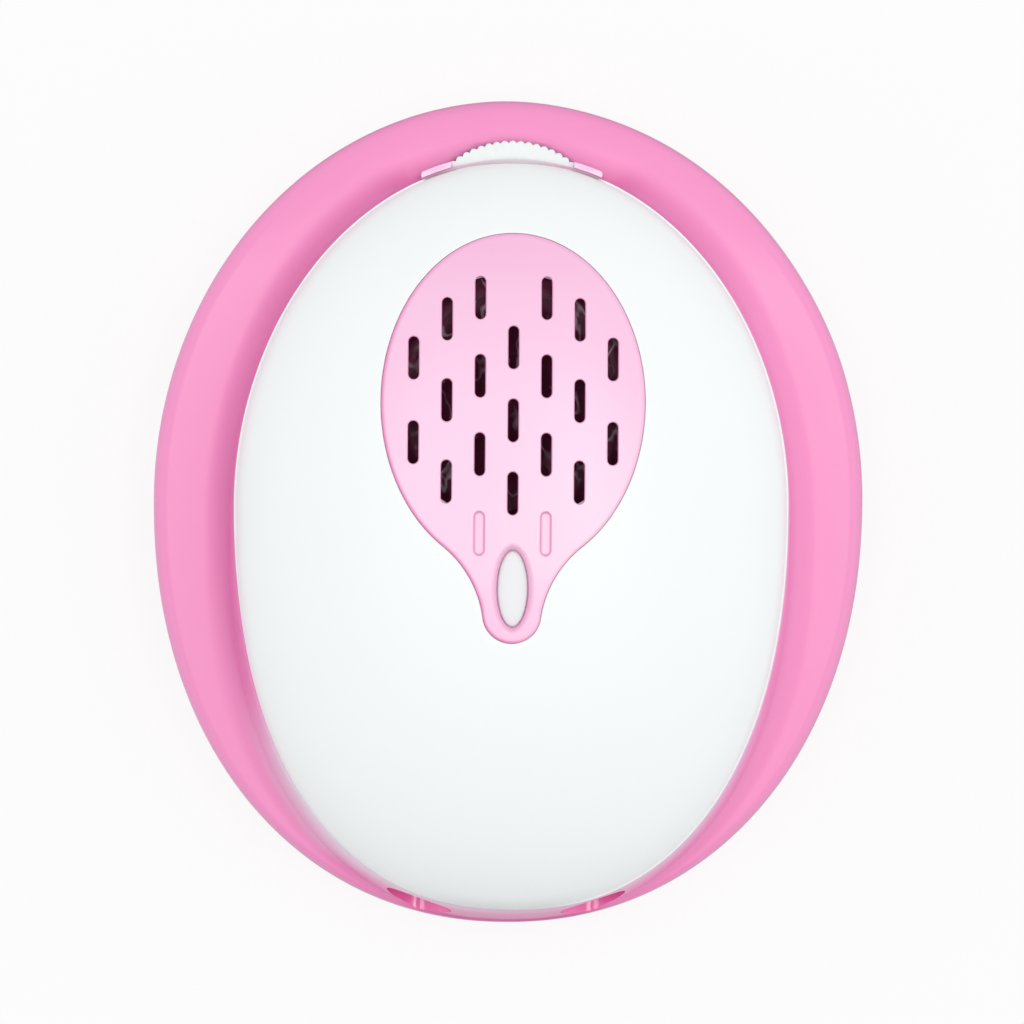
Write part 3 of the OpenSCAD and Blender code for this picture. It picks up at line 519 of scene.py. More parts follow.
def outer_section(turned):
    lip, foot, rim = edge_at(turned, LIP), edge_at(turned, foot_out(turned)), rim_at(turned)
    rounded = ease(0.45, 0.85, math.sin(turned))
    span = (rim - foot).length
    out = (rim - foot) / span
    cove, roll = min(COVE_W, 0.5 * span), min(EDGE_R, 0.45 * span)
    foot_z = parting(foot.y) + BRIM + hollow(turned)
    points = [(*(lip - 0.3 * out), JOINT), (*(lip - 0.3 * out), JOINT - 0.28),
              (*(lip - 0.08 * out), JOINT - 0.32), (*lip, JOINT - 0.42)]
    for k in range(1, ROUND_STEPS):
        points.append((*lip.lerp(foot, k / ROUND_STEPS), JOINT + (foot_z - JOINT) * k / ROUND_STEPS))
    quarter = [math.pi / 2 * k / ROUND_STEPS for k in range(ROUND_STEPS + 1)]
    for at in quarter:
        place = foot + cove * (1 - math.cos(at)) * out
        height = BRIM + hollow(turned) * (1 - math.sin(at))
        height += rounded * (crown((place - foot).length / span) - BRIM - COVE_LEAST * (1 - math.sin(at)))
        points.append((*place, parting(place.y) + height))
    for at in quarter:
        place = rim - roll * (1 - math.sin(at)) * out
        height = RIM_EDGE + (BRIM - RIM_EDGE) * math.cos(at)
        height += rounded * (crown(min(1, (place - foot).length / span)) - height)
        points.append((*place, parting(place.y) + height))
    place = rim - RIM_EDGE * out
    return points + [(*place, parting(place.y))]


def inner_section(turned):
    lip, foot = edge_at(turned, LIP - WALL), edge_at(turned, foot_out(turned) - WALL)
    rim = rim_at(turned, -WALL)
    points = [(*lip, JOINT + 1)]
    for share, lift in ((0, 0.9), (0.12, 0.3), (0.4, 0), (0.7, 0)):
        place = foot.lerp(rim, share)
        points.append((*place, parting(place.y) + BRIM - WALL + lift * hollow(turned)))
    place = foot.lerp(rim, 0.85)
    points.append((*place, parting(place.y) + 0.8 * (BRIM - WALL)))
    return points + [(*rim, parting(rim.y)), (*rim, parting(rim.y) - 1)]


def across(sections):
    """Turns sections, one for each angle, into loops that run round the case."""
    return [list(loop) for loop in zip(*sections)]


ring = lofted("ring_shell", across([outer_section(a) for a in angles]))
ring_core = lofted("core", across([inner_section(a) for a in angles]))
print("ring section has", len(outer_section(0)), "points")

# %% [markdown]
# The two earphone pockets are round cores pushed in from the narrow end. Because the wall there
# leans and curves, each leaves a long lens-shaped mouth when it is seen from above. The wheel
# needs a slot in the wall at the other end, and the bezel gets a seat round that slot.

# %% Pockets, jack holes and the wheel's slot
JACK_X, JACK_Z = 11.6, 18.4
POCKET_R, POCKET_FLOOR = 4.3, -49.2
POCKET_WALL, JACK_HOLE_R = 0.9, 3.1
WHEEL_R, WHEEL_Y = 13, 36.45
SLOT_LOW, SLOT_HIGH, SLOT_FIT = 20.0, 23.2, 0.35
BEZEL_LOW = 19.6
BEZEL_MID, BEZEL_HALF = -0.1, 11.9
BEZEL_OUT = 1.25
STRIP_STEPS = 60


def earphone_core(low, high, radius, segments=96):
    """Two bars on the earphone axes, whose ends are measured from the pockets' floors."""
    def fill(bm):
        for x in (-JACK_X, JACK_X):
            round_bar(bm, x, JACK_Z, POCKET_FLOOR + low, POCKET_FLOOR + high, radius, segments, along="Y")
    return core(fill)


def wheel_slot(bm):
    round_bar(bm, 0, WHEEL_Y, SLOT_LOW, SLOT_HIGH, WHEEL_R + SLOT_FIT, 256)


def strip(left, right, inward, outward):
    """An outline that follows the cover's edge between two places, seen from the bezel's middle."""
    places = [BEZEL_MID + left + (right - left) * i / STRIP_STEPS for i in range(STRIP_STEPS + 1)]
    spans = [math.acos((x - CENTRE.x) / EDGE_HALF) for x in places]
    return [edge_at(a, -inward) for a in spans] + [edge_at(a, outward) for a in reversed(spans)]


def strip_core(left, right, inward, outward, low):
    """A core over such an outline, from a height up to above the joint."""
    return core(lambda bm: prism(bm, strip(left, right, inward, outward), low, JOINT + 1))


combine(ring_core, earphone_core(-5, 2, POCKET_R + POCKET_WALL))
combine(ring, ring_core)
combine(ring, earphone_core(-12, 0, POCKET_R, 128))
combine(ring, earphone_core(-1, 3, JACK_HOLE_R))
combine(ring, strip_core(-BEZEL_HALF - 0.1, BEZEL_HALF + 0.1, 0.7, BEZEL_OUT + 1, BEZEL_LOW - 0.1))
combine(ring, core(wheel_slot))
finish_piece(ring, "case", "pink_shell", "side_ring")

# %% [markdown]
# ## Rear cover
# The back is not in the photograph, so it is kept plain: a bowl with a flat land to lie on, a
# bed for the battery door, a round window for the probe and four screw wells.

# %% Rear shell
SPREAD_OUT, SPREAD_IN = 1.6, 1.8


def spread(share):
    """How far out the bowl has come at a share of its height."""
    return (1 - (1 - share) ** SPREAD_OUT) ** (1 / SPREAD_IN)


def bowl_loop(share, grow=0.0, floor=0.0):
    points = []
    for a in angles:
        inner, outer = land_at(a, grow / 2), rim_at(a, grow)
        place = inner.lerp(outer, spread(share))
        points.append((*place, floor + share * (parting(outer.y) - floor)))
    return points


def bowl_shares(last, steps):
    """Shares of the bowl's height, closer together near the land."""
    return [last * (k / steps) ** 1.6 for k in range(steps + 1)]


outer_loops = [bowl_loop(share) for share in bowl_shares(0.992, 26)]
outer_loops.append([(*rim_at(a, -0.1), parting(rim_at(a).y)) for a in angles])
rear = lofted("rear_shell", outer_loops)
hollow_loops = [bowl_loop(share, -WALL, FLOOR) for share in bowl_shares(1, 16)]
hollow_loops.append([(x, y, z + 1) for x, y, z in hollow_loops[-1]])
combine(rear, lofted("core", hollow_loops))
print("rear shell", len(rear.data.polygons), "faces")

# %% [markdown]
# Inside stand the walls of the battery bay, four screw columns and the posts of the boards.
# They are joined to the shell, and then everything that is open is cut from it.

# %% Rear cover's bay, posts and openings
BATTERY_Y = -13.4
BAY_X, BAY_Y, BAY_WALL, BAY_TOP = 26.9, 13.9, 1.2, 9.0
DOOR_HALF, DOOR_T, DOOR_TOP, DOOR_FIT = 30.0, 2.0, 1.1, 0.15
PROBE_Y, PROBE_R = 20.0, 15.0
SCREWS = [(24, 26), (20.5, -37)]
BOARD_POSTS = [(23.5, 4.6), (23.5, -31)]
WHEEL_POSTS = [(18.5, WHEEL_Y - 6.2), (10, WHEEL_Y + 4.6)]
EARS, EARS_R = [math.radians(a) for a in (-10, 90, 190)], 19.4
COLUMN_LOW, POST_LOW = 2.1, 2.6
BEYOND = -80


def upright(bm, places, low, high, radius, segments=96):
    """Upright bars at some places and at their mirror images."""
    for x, y in places:
        for side in (-1, 1):
            round_bar(bm, side * x, y, low, high, radius, segments)


def side_bar(bm, side, inner, outer, near, far):
    """A block on one side, from inner to outer, with its near and far corners as (y, z)."""
    left, right = sorted((side * inner, side * outer))
    block(bm, (left, *near), (right, *far))


def columns(bm):
    upright(bm, SCREWS, COLUMN_LOW, 14, 3.4)
    upright(bm, BOARD_POSTS, COLUMN_LOW, 21.2, 2.4, 48)
    upright(bm, WHEEL_POSTS, POST_LOW, 14.5, 2.2, 48)
    for a in EARS:
        round_bar(bm, *around(PROBE_Y, EARS_R, a), POST_LOW, 5.3, 2, 48)


def rear_openings(bm):
    block(bm, (-BAY_X, BATTERY_Y - BAY_Y, -1), (BAY_X, BATTERY_Y + BAY_Y, BAY_TOP + 1))
    round_bar(bm, 0, PROBE_Y, -1, FLOOR + 1, PROBE_R + 0.15, 192)


def bay_block(bm):
    block(bm, (-BAY_X - BAY_WALL, BATTERY_Y - BAY_Y - BAY_WALL, POST_LOW),
          (BAY_X + BAY_WALL, BATTERY_Y + BAY_Y + BAY_WALL, BAY_TOP))


def door_bed(bm):
    block(bm, (-DOOR_HALF - DOOR_FIT, BEYOND, -1),
          (DOOR_HALF + DOOR_FIT, DOOR_TOP + DOOR_FIT, DOOR_T + 0.1))


combine(rear, core(bay_block), "UNION")
combine(rear, core(columns), "UNION")
combine(rear, core(rear_openings))
combine(rear, core(door_bed))
for side in (-1, 1):
    combine(rear, core(lambda bm: side_bar(bm, side, DOOR_HALF, DOOR_HALF + 1.35,
                                           (BEYOND, 0.7), (DOOR_TOP + DOOR_FIT, 1.7))))
combine(rear, core(lambda bm: upright(bm, SCREWS, -1, 8, 2.4, 64)))
combine(rear, core(lambda bm: upright(bm, SCREWS, 7, 15, 1.3, 32)))
finish_piece(rear, "case", "pink_shell", "rear_cover")

# %% [markdown]
# ## Battery door
# The door slides off towards the pockets on two rails. Its outside is the same bowl as the
# rear cover, so the two run into each other, and six thumb grooves give a grip.

# %% Battery door
GRIP_Y, GRIP_STEP, GRIP_R = -37, 1.9, 0.62


def door_rails(bm):
    for side in (-1, 1):
        side_bar(bm, side, DOOR_HALF - 1, DOOR_HALF + 1.2, (DOOR_TOP - 20, 0.8), (DOOR_TOP - 1, 1.6))


def thumb_grooves(bm):
    """Six bars across the door, the middle ones longest."""
    for i in range(6):
        half = 9 - 0.7 * abs(i - 2.5)
        made = round_bar(bm, 0, -0.25, -half, half, GRIP_R, 32, along="Y")
        bmesh.ops.rotate(bm, verts=made, cent=(0, 0, 0), matrix=Matrix.Rotation(math.pi / 2, 3, "Z"))
        bmesh.ops.translate(bm, verts=made, vec=(0, GRIP_Y + GRIP_STEP * i + 0.4, 0))


door = lofted("door_leaf", [bowl_loop(share) for share in bowl_shares(0.28, 14)])
combine(door, core(lambda bm: block(bm, (-DOOR_HALF, BEYOND, -1), (DOOR_HALF, DOOR_TOP, DOOR_T))),
        "INTERSECT")
door_end = bowl_loop((DOOR_T - 0.6) / parting(-55))
combine(door, core(lambda bm: prism(bm, [(x, y) for x, y, _ in door_end], -1, DOOR_T + 1)), "INTERSECT")
combine(door, core(door_rails), "UNION")
combine(door, core(thumb_grooves))
finish_piece(door, "battery_door", "pink_shell", "battery_door")

# %% [markdown]
# ## Speaker grille
# The insert is moulded in a paler pink and drops into the seat. Its slots have rounded mouths:
# each core has a flared head that follows the dome, so the round is cut together with the slot.
# Two slots near the tip are blind, and the tip has an oval hole with a wide, soft cove.

# %% Grille plate
GRILLE_T = 1.3
PLATE_EDGE = ((0.15, GRILLE_T), (0, GRILLE_T - 0.1), (0, 0.3), (0.02, 0.17), (0.09, 0.06), (0.2, 0.01),
              (0.32, 0), (0.45, 0))
PLATE_STEPS = 34
plate_loops = [ladle_loop(-inside, drop) for inside, drop in PLATE_EDGE]
rim_places = [Vector(p[:2]) for p in ladle_loop(-0.62, 0)]
top_loops, under_loops = [], []
for k in range(PLATE_STEPS):
    places = [p.lerp(CENTRE, k / (PLATE_STEPS + 0.5)) for p in rim_places]
    top_loops.append(on_dome(places))
    under_loops.append(on_dome(places, GRILLE_T))
plate = lofted("grille_plate", list(reversed(under_loops)) + plate_loops + top_loops)
print("grille plate", len(plate.data.polygons), "faces")

# %% Slot cores
SLOT_W, SLOT_L, SLOT_STEP = 1.36, 5.6, 4.35
COLUMNS = [(0, 21.65, 9.55, 3), (1, 28.15, 10.25, 3), (2, 25.35, 10.65, 3), (3, 20.2, 11.05, 2)]
BLIND_Y = COLUMNS[1][1] - 3 * COLUMNS[1][2] - 0.1
BLIND_W, BLIND_L = 1.46, 5.8
SLOT_FLARE = ((0, 0.32), (0.03, 0.17), (0.1, 0.05), (0.24, -0.08))
BLIND_FLARE = ((-0.4, 0.46), (-0.24, 0.44), (-0.1, 0.34), (-0.02, 0.18), (0.06, 0.04), (0.18, -0.08))
BELOW_PLATE, ABOVE_PLATE = 30, 45
slots = [(side * column * SLOT_STEP, top - i * step) for column, top, step, count in COLUMNS
         for side in ((1,) if column == 0 else (-1, 1)) for i in range(count)]


def slot_outline(x, y, width, length, steps=12):
    radius = width / 2
    points = []
    for end in (1, -1):
        for i in range(steps + 1):
            at = math.pi * i / steps + (0 if end == 1 else math.pi)
            middle = y + end * (length - width) / 2
            points.append((x + radius * math.cos(at), middle + radius * math.sin(at)))
    return points


def flared(bm, outline, sections, through=True):
    """A core whose sections (grow, drop) follow the dome, and which may go right through."""
    loops = [[(*p, BELOW_PLATE) for p in outline(sections[0][0])]] if through else []
    loops += [on_dome(outline(grow), drop) for grow, drop in sections]
    loops.append([(*p, ABOVE_PLATE) for p in outline(sections[-1][0])])
    loft(bm, loops)


def slot_cores(bm):
    for x, y in slots:
        flared(bm, lambda grow: slot_outline(x, y, SLOT_W + 2 * grow, SLOT_L + 2 * grow), SLOT_FLARE)
    for x in (-SLOT_STEP, SLOT_STEP):
        flared(bm, lambda grow: slot_outline(x, BLIND_Y, BLIND_W + 2 * grow, BLIND_L + 2 * grow),
               BLIND_FLARE, through=False)


combine(plate, core(slot_cores))
print(len(slots), "slots go through the grille")

# %% Window's hole
WINDOW_X, WINDOW_Y = 0.09, -9.9
WINDOW_HALF, LENS_HALF = (2.08, 5.08), (1.99, 4.99)
WINDOW_FLARE = ((0, 0.95), (0.03, 0.75), (0.16, 0.45), (0.36, 0.2), (0.66, 0.03), (0.8, -0.05))


def window_outline(half, grow, steps=72):
    a, b = half[0] + grow, half[1] + grow
    spans = [TURN * i / steps for i in range(steps)]
    return [(WINDOW_X + a * math.cos(at), WINDOW_Y + b * math.sin(at)) for at in spans]


combine(plate, core(lambda bm: flared(bm, lambda grow: window_outline(WINDOW_HALF, grow), WINDOW_FLARE)))
finish_piece(plate, "case", "pale_pink", "speaker_grille")

# %% [markdown]
# ## Indicator window
# A milky oval lens fills the hole in the tip. Its top is slightly crowned and its edge rounded,
# so that a thin dark line stays between it and the cove.

# %% Indicator window
LENS_ROUND = ((0, 3.6), (0, 1.3), (-0.04, 1.0), (-0.16, 0.83), (-0.34, 0.74), (-0.7, 0.68),
              (-1.2, 0.62), (-1.7, 0.6))
LENS_FLATTER = 0.35


def lens_z(place):
    """The lens is a little flatter than the dome."""
    return dome_z((0, WINDOW_Y)) * LENS_FLATTER + dome_z(place) * (1 - LENS_FLATTER)


lens_loops = [[(*p, lens_z(p) - drop) for p in window_outline(LENS_HALF, grow)]
              for grow, drop in LENS_ROUND]
window = lofted("window_lens", lens_loops)
combine(window, core(lambda bm: round_bar(bm, 0, WINDOW_Y, 25.5, 37, 1.5, 48)), "UNION")
finish_piece(window, "case", "milky_lens", "indicator_lens")

# %% [markdown]
# ## Volume wheel and bezel
# Only a sliver of the wheel looks out of its slot. Its rim has round teeth with sharp valleys,
# which is what a thumb feels, and the bezel is a pale frame with a narrow bar over the wheel.

# %% Wheel
TEETH, TOOTH, TOOTH_STEPS = 74, 0.32, 10
WHEEL_LOW, WHEEL_HIGH, DISH_FLOOR = 20.3, 22.9, 22.1
BORE_R = 2.03


def wheel_loop(pull, z, tooth=TOOTH):
    points = []
    for i in range(TEETH * TOOTH_STEPS):
        at = TURN * i / (TEETH * TOOTH_STEPS)
        radius = WHEEL_R - pull - tooth * (1 - abs(math.sin(TEETH * at / 2)))
        points.append((*around(WHEEL_Y, radius, at), z))
    return points


def wheel_ring(radius, z):
    return wheel_loop(WHEEL_R - radius, z, 0)


rim_side = [(0.2, WHEEL_LOW), (0.06, WHEEL_LOW + 0.05), (0, WHEEL_LOW + 0.2),
            (0, WHEEL_HIGH - 0.2), (0.06, WHEEL_HIGH - 0.05), (0.2, WHEEL_HIGH)]
dish = [(9.2, WHEEL_HIGH), (8.9, DISH_FLOOR), (4.6, DISH_FLOOR), (4.4, WHEEL_HIGH), (BORE_R, WHEEL_HIGH)]
wheel_loops = [wheel_ring(BORE_R, WHEEL_LOW), wheel_ring(11.6, WHEEL_LOW)]
wheel_loops += [wheel_loop(pull, z) for pull, z in rim_side]
wheel_loops += [wheel_ring(radius, z) for radius, z in dish]
wheel = lofted("knurled_wheel", wheel_loops, ends="join")
finish_piece(wheel, "volume_wheel", "white_wheel", "volume_wheel", crease=40)

# %% Bezel
BAR_OUT, BAR_HALF, BAR_TOP = 0.44, 8.2, JOINT - 0.1
GROOVE_OUT, GROOVE_Z = 0.5, JOINT - 0.5
FAR_Y = 60


def rounded(bm, edges, offset, segments):
    bmesh.ops.bevel(bm, geom=edges, offset=offset, offset_type="OFFSET", affect="EDGES",
                    segments=segments, profile=0.5, material=-1)


def bezel_body(bm):
    """The strip from end to end, with its upright corners and its top edges rounded."""
    prism(bm, strip(-BEZEL_HALF, BEZEL_HALF, 0.6, BEZEL_OUT), BEZEL_LOW, BAR_TOP)
    corners = [e for e in bm.edges if abs(e.verts[0].co.z - e.verts[1].co.z) > 1
               and abs(abs(e.verts[0].co.x) - BEZEL_HALF) < 1.2 and e.calc_face_angle(0) > 1]
    rounded(bm, corners, 0.45, 6)
    top = [e for e in bm.edges if min(v.co.z for v in e.verts) > BAR_TOP - 0.01
           and e.calc_face_angle(0) > 1]
    rounded(bm, top, 0.14, 3)


def bar_relief(bm):
    """Everything beyond the narrow bar's face, between the bar's ends."""
    face = [edge_at(math.radians(60 + 60 * i / 40), BAR_OUT) for i in range(41)]
    end_y = edge_at(math.acos(BAR_HALF / EDGE_HALF), BAR_OUT).y
    outline = [(BAR_HALF, FAR_Y), (BAR_HALF, end_y)]
    outline += [(p.x, p.y) for p in face if abs(p.x) <= BAR_HALF]
    outline += [(-BAR_HALF, end_y), (-BAR_HALF, FAR_Y)]
    prism(bm, outline, SLOT_LOW, JOINT + 1)


bezel = core(bezel_body)
bezel.name = "slot_bezel"
combine(bezel, core(bar_relief))
combine(bezel, strip_core(-BEZEL_HALF - 1, BEZEL_HALF + 1, 1, GROOVE_OUT, GROOVE_Z))
for ends in ((-10.6, -8.8), (8.8, 10.6)):
    combine(bezel, strip_core(*ends, -0.74, 0.92, JOINT - 0.3))
combine(bezel, core(wheel_slot))
finish_piece(bezel, "case", "pale_pink", "wheel_bezel")

# %% [markdown]
# ## Loudspeaker film
# Behind the slots lies a dark, glossy film. Swept ridges stiffen it, and they show as faint
# diagonal glints through the slots, together with glints painted into the film's colour. It is
# one lofted skin: a crown over the coil, then a cone whose height swings a little along a
# spiral, and a flat edge. The basket's film reaches over that edge as a half roll, high enough
# for the cone to travel under it.

# %% Speaker film
CONE_R, COIL_R, SPEAKER_Z = 14.4, 5.9, 33.0
CONE_DEEP, CONE_FLAT, CAP_H, FILM_T = 2.2, 2.2, 1.85, 0.25
RIDGES, RIDGE = 36, 0.05
CAP_STEPS, CONE_STEPS = 16, 28
FLANGE_R = 17.7


def film_loop(radius, under):
    points = []
    for a in angles:
        if radius <= COIL_R:
            z = SPEAKER_Z - 0.35 - CAP_H * (radius / COIL_R) ** 2
        else:
            share = min(1, (radius - COIL_R) / (CONE_R - CONE_FLAT - COIL_R))
            z = SPEAKER_Z - CONE_DEEP * (1 - share) ** 0.9
            fade = math.sin(math.pi * share) ** 0.5 if share < 1 else 0
            z += RIDGE * fade * math.sin(RIDGES * a + 0.9 * radius)
        points.append((*around(SOUND.y, radius, a), z - under))
    return points


film_radii = [0.3 + 5.6 * k / CAP_STEPS for k in range(CAP_STEPS + 1)]
film_radii += [COIL_R + 6.3 * k / CONE_STEPS for k in range(1, CONE_STEPS + 1)] + [13.3, CONE_R]
film_loops = [film_loop(r, 0) for r in film_radii] + [film_loop(r, FILM_T) for r in reversed(film_radii)]
film = lofted("speaker_film", film_loops)
finish_piece(film, "speaker_cone", "cone", "speaker_cone", "dust_cap", crease=60)

edge_section = [(FLANGE_R, 0), (15.5, 0), (15.1, 0.3), (14.7, 0.46), (14.2, 0.52), (13.7, 0.5),
                (13.7, 0.58), (14.2, 0.6), (14.7, 0.55), (15.2, 0.4), (15.6, 0.2), (FLANGE_R, 0.2)]
film_edge = lofted("film_edge", [[(*around(SOUND.y, r, a), SPEAKER_Z + z) for a in angles]
                                 for r, z in edge_section], ends="join")
finish_piece(film_edge, "case", "cone", "speaker_surround")

# %% [markdown]
# ## Materials
# A small class wraps a socket so that shader maths reads like arithmetic. Every other node is
# made by one method that takes its type, its settings and its inputs.

# %% Shader tools
class Value:
    """A number that varies over the surface, which can be added, multiplied and so on."""

    def __init__(self, graph, socket):
        self.graph, self.socket = graph, socket

    def _math(self, operation, first, second=0.0, clamp=False):
        made = self.graph.node("ShaderNodeMath", {"operation": operation, "use_clamp": clamp},
                               {0: first, 1: second})
        return Value(self.graph, made.outputs[0])

    def __add__(self, other):
        return self._math("ADD", self, other)

    __radd__ = __add__

    def __sub__(self, other):
        return self._math("SUBTRACT", self, other)

    def __rsub__(self, other):
        return self._math("SUBTRACT", other, self)

    def __mul__(self, other):
        return self._math("MULTIPLY", self, other)

    __rmul__ = __mul__

    def __abs__(self):
        return self._math("ABSOLUTE", self)

    def clamped(self):
        return self._math("ADD", self, 0.0, clamp=True)


class Graph:
    """A node tree of a material or of the world."""

    def __init__(self, owner):
        owner.use_nodes = True
        self.tree = owner.node_tree

    def node(self, kind, settings=None, inputs=None):
        made = self.tree.nodes.new(kind)
        for name, value in (settings or {}).items():
            setattr(made, name, value)
        for name, value in (inputs or {}).items():
            self.feed(made.inputs[name], value)
        return made

    def feed(self, socket, value):
        value = value.socket if isinstance(value, Value) else value
        if isinstance(value, bpy.types.NodeSocket):
            self.tree.links.new(value, socket)
        else:
            socket.default_value = value

    def met_by(self, *kinds):
        """1 for some kinds of rays, which look at the room, and 0 for those that light it."""
        path = self.node("ShaderNodeLightPath").outputs
        first, *others = [Value(self, path[f"Is {kind} Ray"]) for kind in kinds]
        return sum(others, first).clamped()


class Shader(Graph):
    """The node tree of one material, with its Principled BSDF."""

    def __init__(self, name, **fixed):
        self.material = bpy.data.materials.new(name)
        super().__init__(self.material)
        self.surface = self.tree.nodes["Principled BSDF"]
        for socket, value in fixed.items():
            self.surface.inputs[socket.replace("_", " ")].default_value = value
        self.place = self.node("ShaderNodeTexCoord").outputs["Object"]

    def noise(self, scale, detail, stretch=None, turn=0.0):
        place = self.place
        if stretch:
            place = self.node("ShaderNodeMapping", None, {"Vector": place, "Rotation": (0, 0, turn),
                                                          "Scale": stretch}).outputs[0]
        made = self.node("ShaderNodeTexNoise", None, {"Vector": place, "Scale": scale, "Detail": detail})
        return Value(self, made.outputs["Fac"])

    def blend_colours(self, amount, first, second):
        made = self.node("ShaderNodeMix", {"data_type": "RGBA"}, {0: amount, 6: first, 7: second})
        return made.outputs[2]

    def colour(self, value):
        self.feed(self.surface.inputs["Base Color"], value)

    def roughness(self, value):
        self.feed(self.surface.inputs["Roughness"], value)

    def bump(self, height, depth):
        made = self.node("ShaderNodeBump", None, {"Height": height, "Distance": depth})
        self.feed(self.surface.inputs["Normal"], made.outputs[0])


def written(red, green, blue):
    """A colour as a screen shows it, 0 to 255, in the linear values that a shader takes."""
    def linear(part):
        part /= 255
        return part / 12.92 if part <= 0.04045 else ((part + 0.055) / 1.055) ** 2.4
    return (linear(red), linear(green), linear(blue), 1.0)


def stronger(colour, factor):
    return tuple(min(1, factor * part) for part in colour[:3]) + (1.0,)


print("shader tools ready")

# %% [markdown]
# Moulded plastic is never one flat value. Pigment varies very slightly through the part, the
# polish is uneven where the tool is worn, and a fine texture breaks up the gloss. One recipe
# with different numbers covers all plastic and rubber parts.

# %% Moulded plastic
def moulded(name, colour, roughness, vary=0.04, texture=0.004, grain=2600, **fixed):
    shader = Shader(name, **fixed)
    cloud = shader.noise(55, 2)
    shader.pigment = shader.blend_colours(cloud, stronger(colour, 1 - vary), stronger(colour, 1 + vary))
    shader.colour(shader.pigment)
    shader.roughness(roughness + 0.05 * (shader.noise(140, 3) - 0.5))
    shader.bump(shader.noise(grain, 2), texture * MM)
    return shader


PINK = written(247, 150, 202)
PALE_PINK = written(250, 200, 229)
WHITE = written(246, 249, 250)
finishes = {
    "pink_shell": moulded("pink_gloss", PINK, 0.36, 0.02),
    # The pockets' walls are a brighter, deeper pink: painted light that stands in for the light their
    # hollows lose. Their lower roughness is real gloss.
    "pocket": moulded("pocket_gloss", written(255, 116, 186), 0.18, 0.02, Specular_IOR_Level=0.8),
    "milky_lens": moulded("milky_window", written(236, 238, 240), 0.5, 0.02),
    "white_wheel": moulded("white_wheel", written(238, 242, 241), 0.42, 0.008, Specular_IOR_Level=0.3),
    "black_plastic": moulded("black_plastic", written(34, 35, 38), 0.5, 0.1, 0.02),
    "battery_jacket": moulded("battery_jacket", written(62, 64, 72), 0.32, 0.06),
    "foam": moulded("closed_foam", written(70, 48, 60), 0.9, 0.15, 0.15, 900),
    "probe_face": moulded("probe_face", written(232, 235, 237), 0.25, 0.01),
    "crystal": moulded("fired_ceramic", written(196, 180, 152), 0.7, 0.06, 0.02),
    "backing": moulded("cast_backing", written(142, 116, 90), 0.8, 0.12, 0.03),
    "wire": moulded("wire_skin", written(176, 60, 58), 0.45, 0.05),
    "board": moulded("solder_mask", written(38, 120, 74), 0.3, 0.1, 0.01, 1400),
}
print(len(finishes), "plastics")

# %% [markdown]
# Four parts carry painted light and shade in their colour. The ring has a painted milky
# reflection below the cover's narrow end, a painted highlight on its lip, and painted shade in
# its hollow, at its rim and beside the wheel. The translucent grille has a painted highlight in
# its bowl and painted shade at its top, its tip and where its edges turn down. The cover's foot
# and the bezel's groove have painted shade. Each vertex carries its own amount, and the finish
# fades to a second colour.

# %% Tints of painted light and shade that fade
def tinted(name, piece, colour, roughness, tints, vary=0.015, **fixed):
    """A plastic with further tints of painted light and shade: a name, a function of the place, a colour
    and a share.
    """
    shader = moulded(name, colour, roughness, vary, **fixed)
    mixed = shader.pigment
    for tint, amount_at, second, share in tints:
        amounts = piece.data.attributes.new(tint, "FLOAT", "POINT")
        amounts.data.foreach_set("value", [amount_at(vert.co / MM) for vert in piece.data.vertices])
        read = shader.node("ShaderNodeAttribute", {"attribute_name": tint})
        mixed = shader.blend_colours(Value(shader, read.outputs["Fac"]) * share, mixed, second)
    shader.colour(mixed)
    return shader


def from_cover(place):
    """A place's direction from the dome's centre, how far it lies beyond the cover's edge, and
    its share of the way from the wheel down to the pockets."""
    out = Vector(place[:2]) - CENTRE
    direction = out.normalized()
    lower = low_end(math.atan2(direction.y, direction.x))
    return direction, out.length - reach_of(direction), lower


print("the cover's edge lies", round(-from_cover(Vector((0, 0, 0)))[1], 1), "mm from the origin")

# %% Painted light and shade on the ring
# A painted reflection: a milky sheen on the ring's wall below the cover's narrow end, widest on the left.
def painted_reflection(place):
    direction, away, lower = from_cover(place)
    narrow = ease(0.93, 0.98, lower)
    left = ease(-0.2, 0.3, -direction.x)
    width = (2.2 + 1.8 * left) * (1 - narrow) + 1.2 * narrow
    return ease(0.78, 0.9, lower) * (1 - ease(0, width, away)) * (0.6 + 0.4 * left)


# Painted shade in the ring's hollow beside the cover, strongest on the left and at the top and weaker
# towards the pockets.
def painted_cove_shade(place):
    direction, away, lower = from_cover(place)
    side = min(1, 0.55 - 0.45 * direction.x + 0.45 * ease(0.5, 0.95, direction.y))
    side *= 1 - 0.6 * ease(0.7, 0.88, lower)
    side = max(side, ease(0.98, 0.995, lower))
    return side * (0.6 + 0.4 * ease(0.2, 1.1, away)) * (1 - ease(1.4, 4.8, away))


def rim_shade(place):
    """1 on the last steep strip before the parting line, which turns away from the lamps."""
    half, up, down, wide_y, power_up, power_down = RIM
    x, y = place.x, place.y - wide_y
    reach, power = (up, power_up) if y >= 0 else (down, power_down)
    share = (abs(x / half) ** power + abs(y / reach) ** power) ** (1 / power)
    inside = (1 - share) * math.hypot(x, y) - flat_at(math.atan2(y / reach, x / half))
    turned_away = 0.75 * (1 - ease(0.1, 0.45, inside)) + 0.25 * (1 - ease(0.3, 1.2, inside))
    return turned_away * (0.4 + 0.6 * ease(-0.9, -0.4, x / half))


def lip_glow(place):
    """The ring's lip shines pale next to the cover, on the right where the lamp is."""
    direction, away, _ = from_cover(place)
    return ease(0.5, 0.9, direction.x) * (1 - ease(0.3, 0.8, away))


def wheel_shade(place):
    """The shadow that the wheel and its slot leave on the ring."""
    away = math.hypot(place.x, place.y - WHEEL_Y) - WHEEL_R
    return (place.y > 45) * (1 - ease(-0.1, 0.55, away)) * (0.4 + 0.6 * ease(1, 5, abs(place.x)))
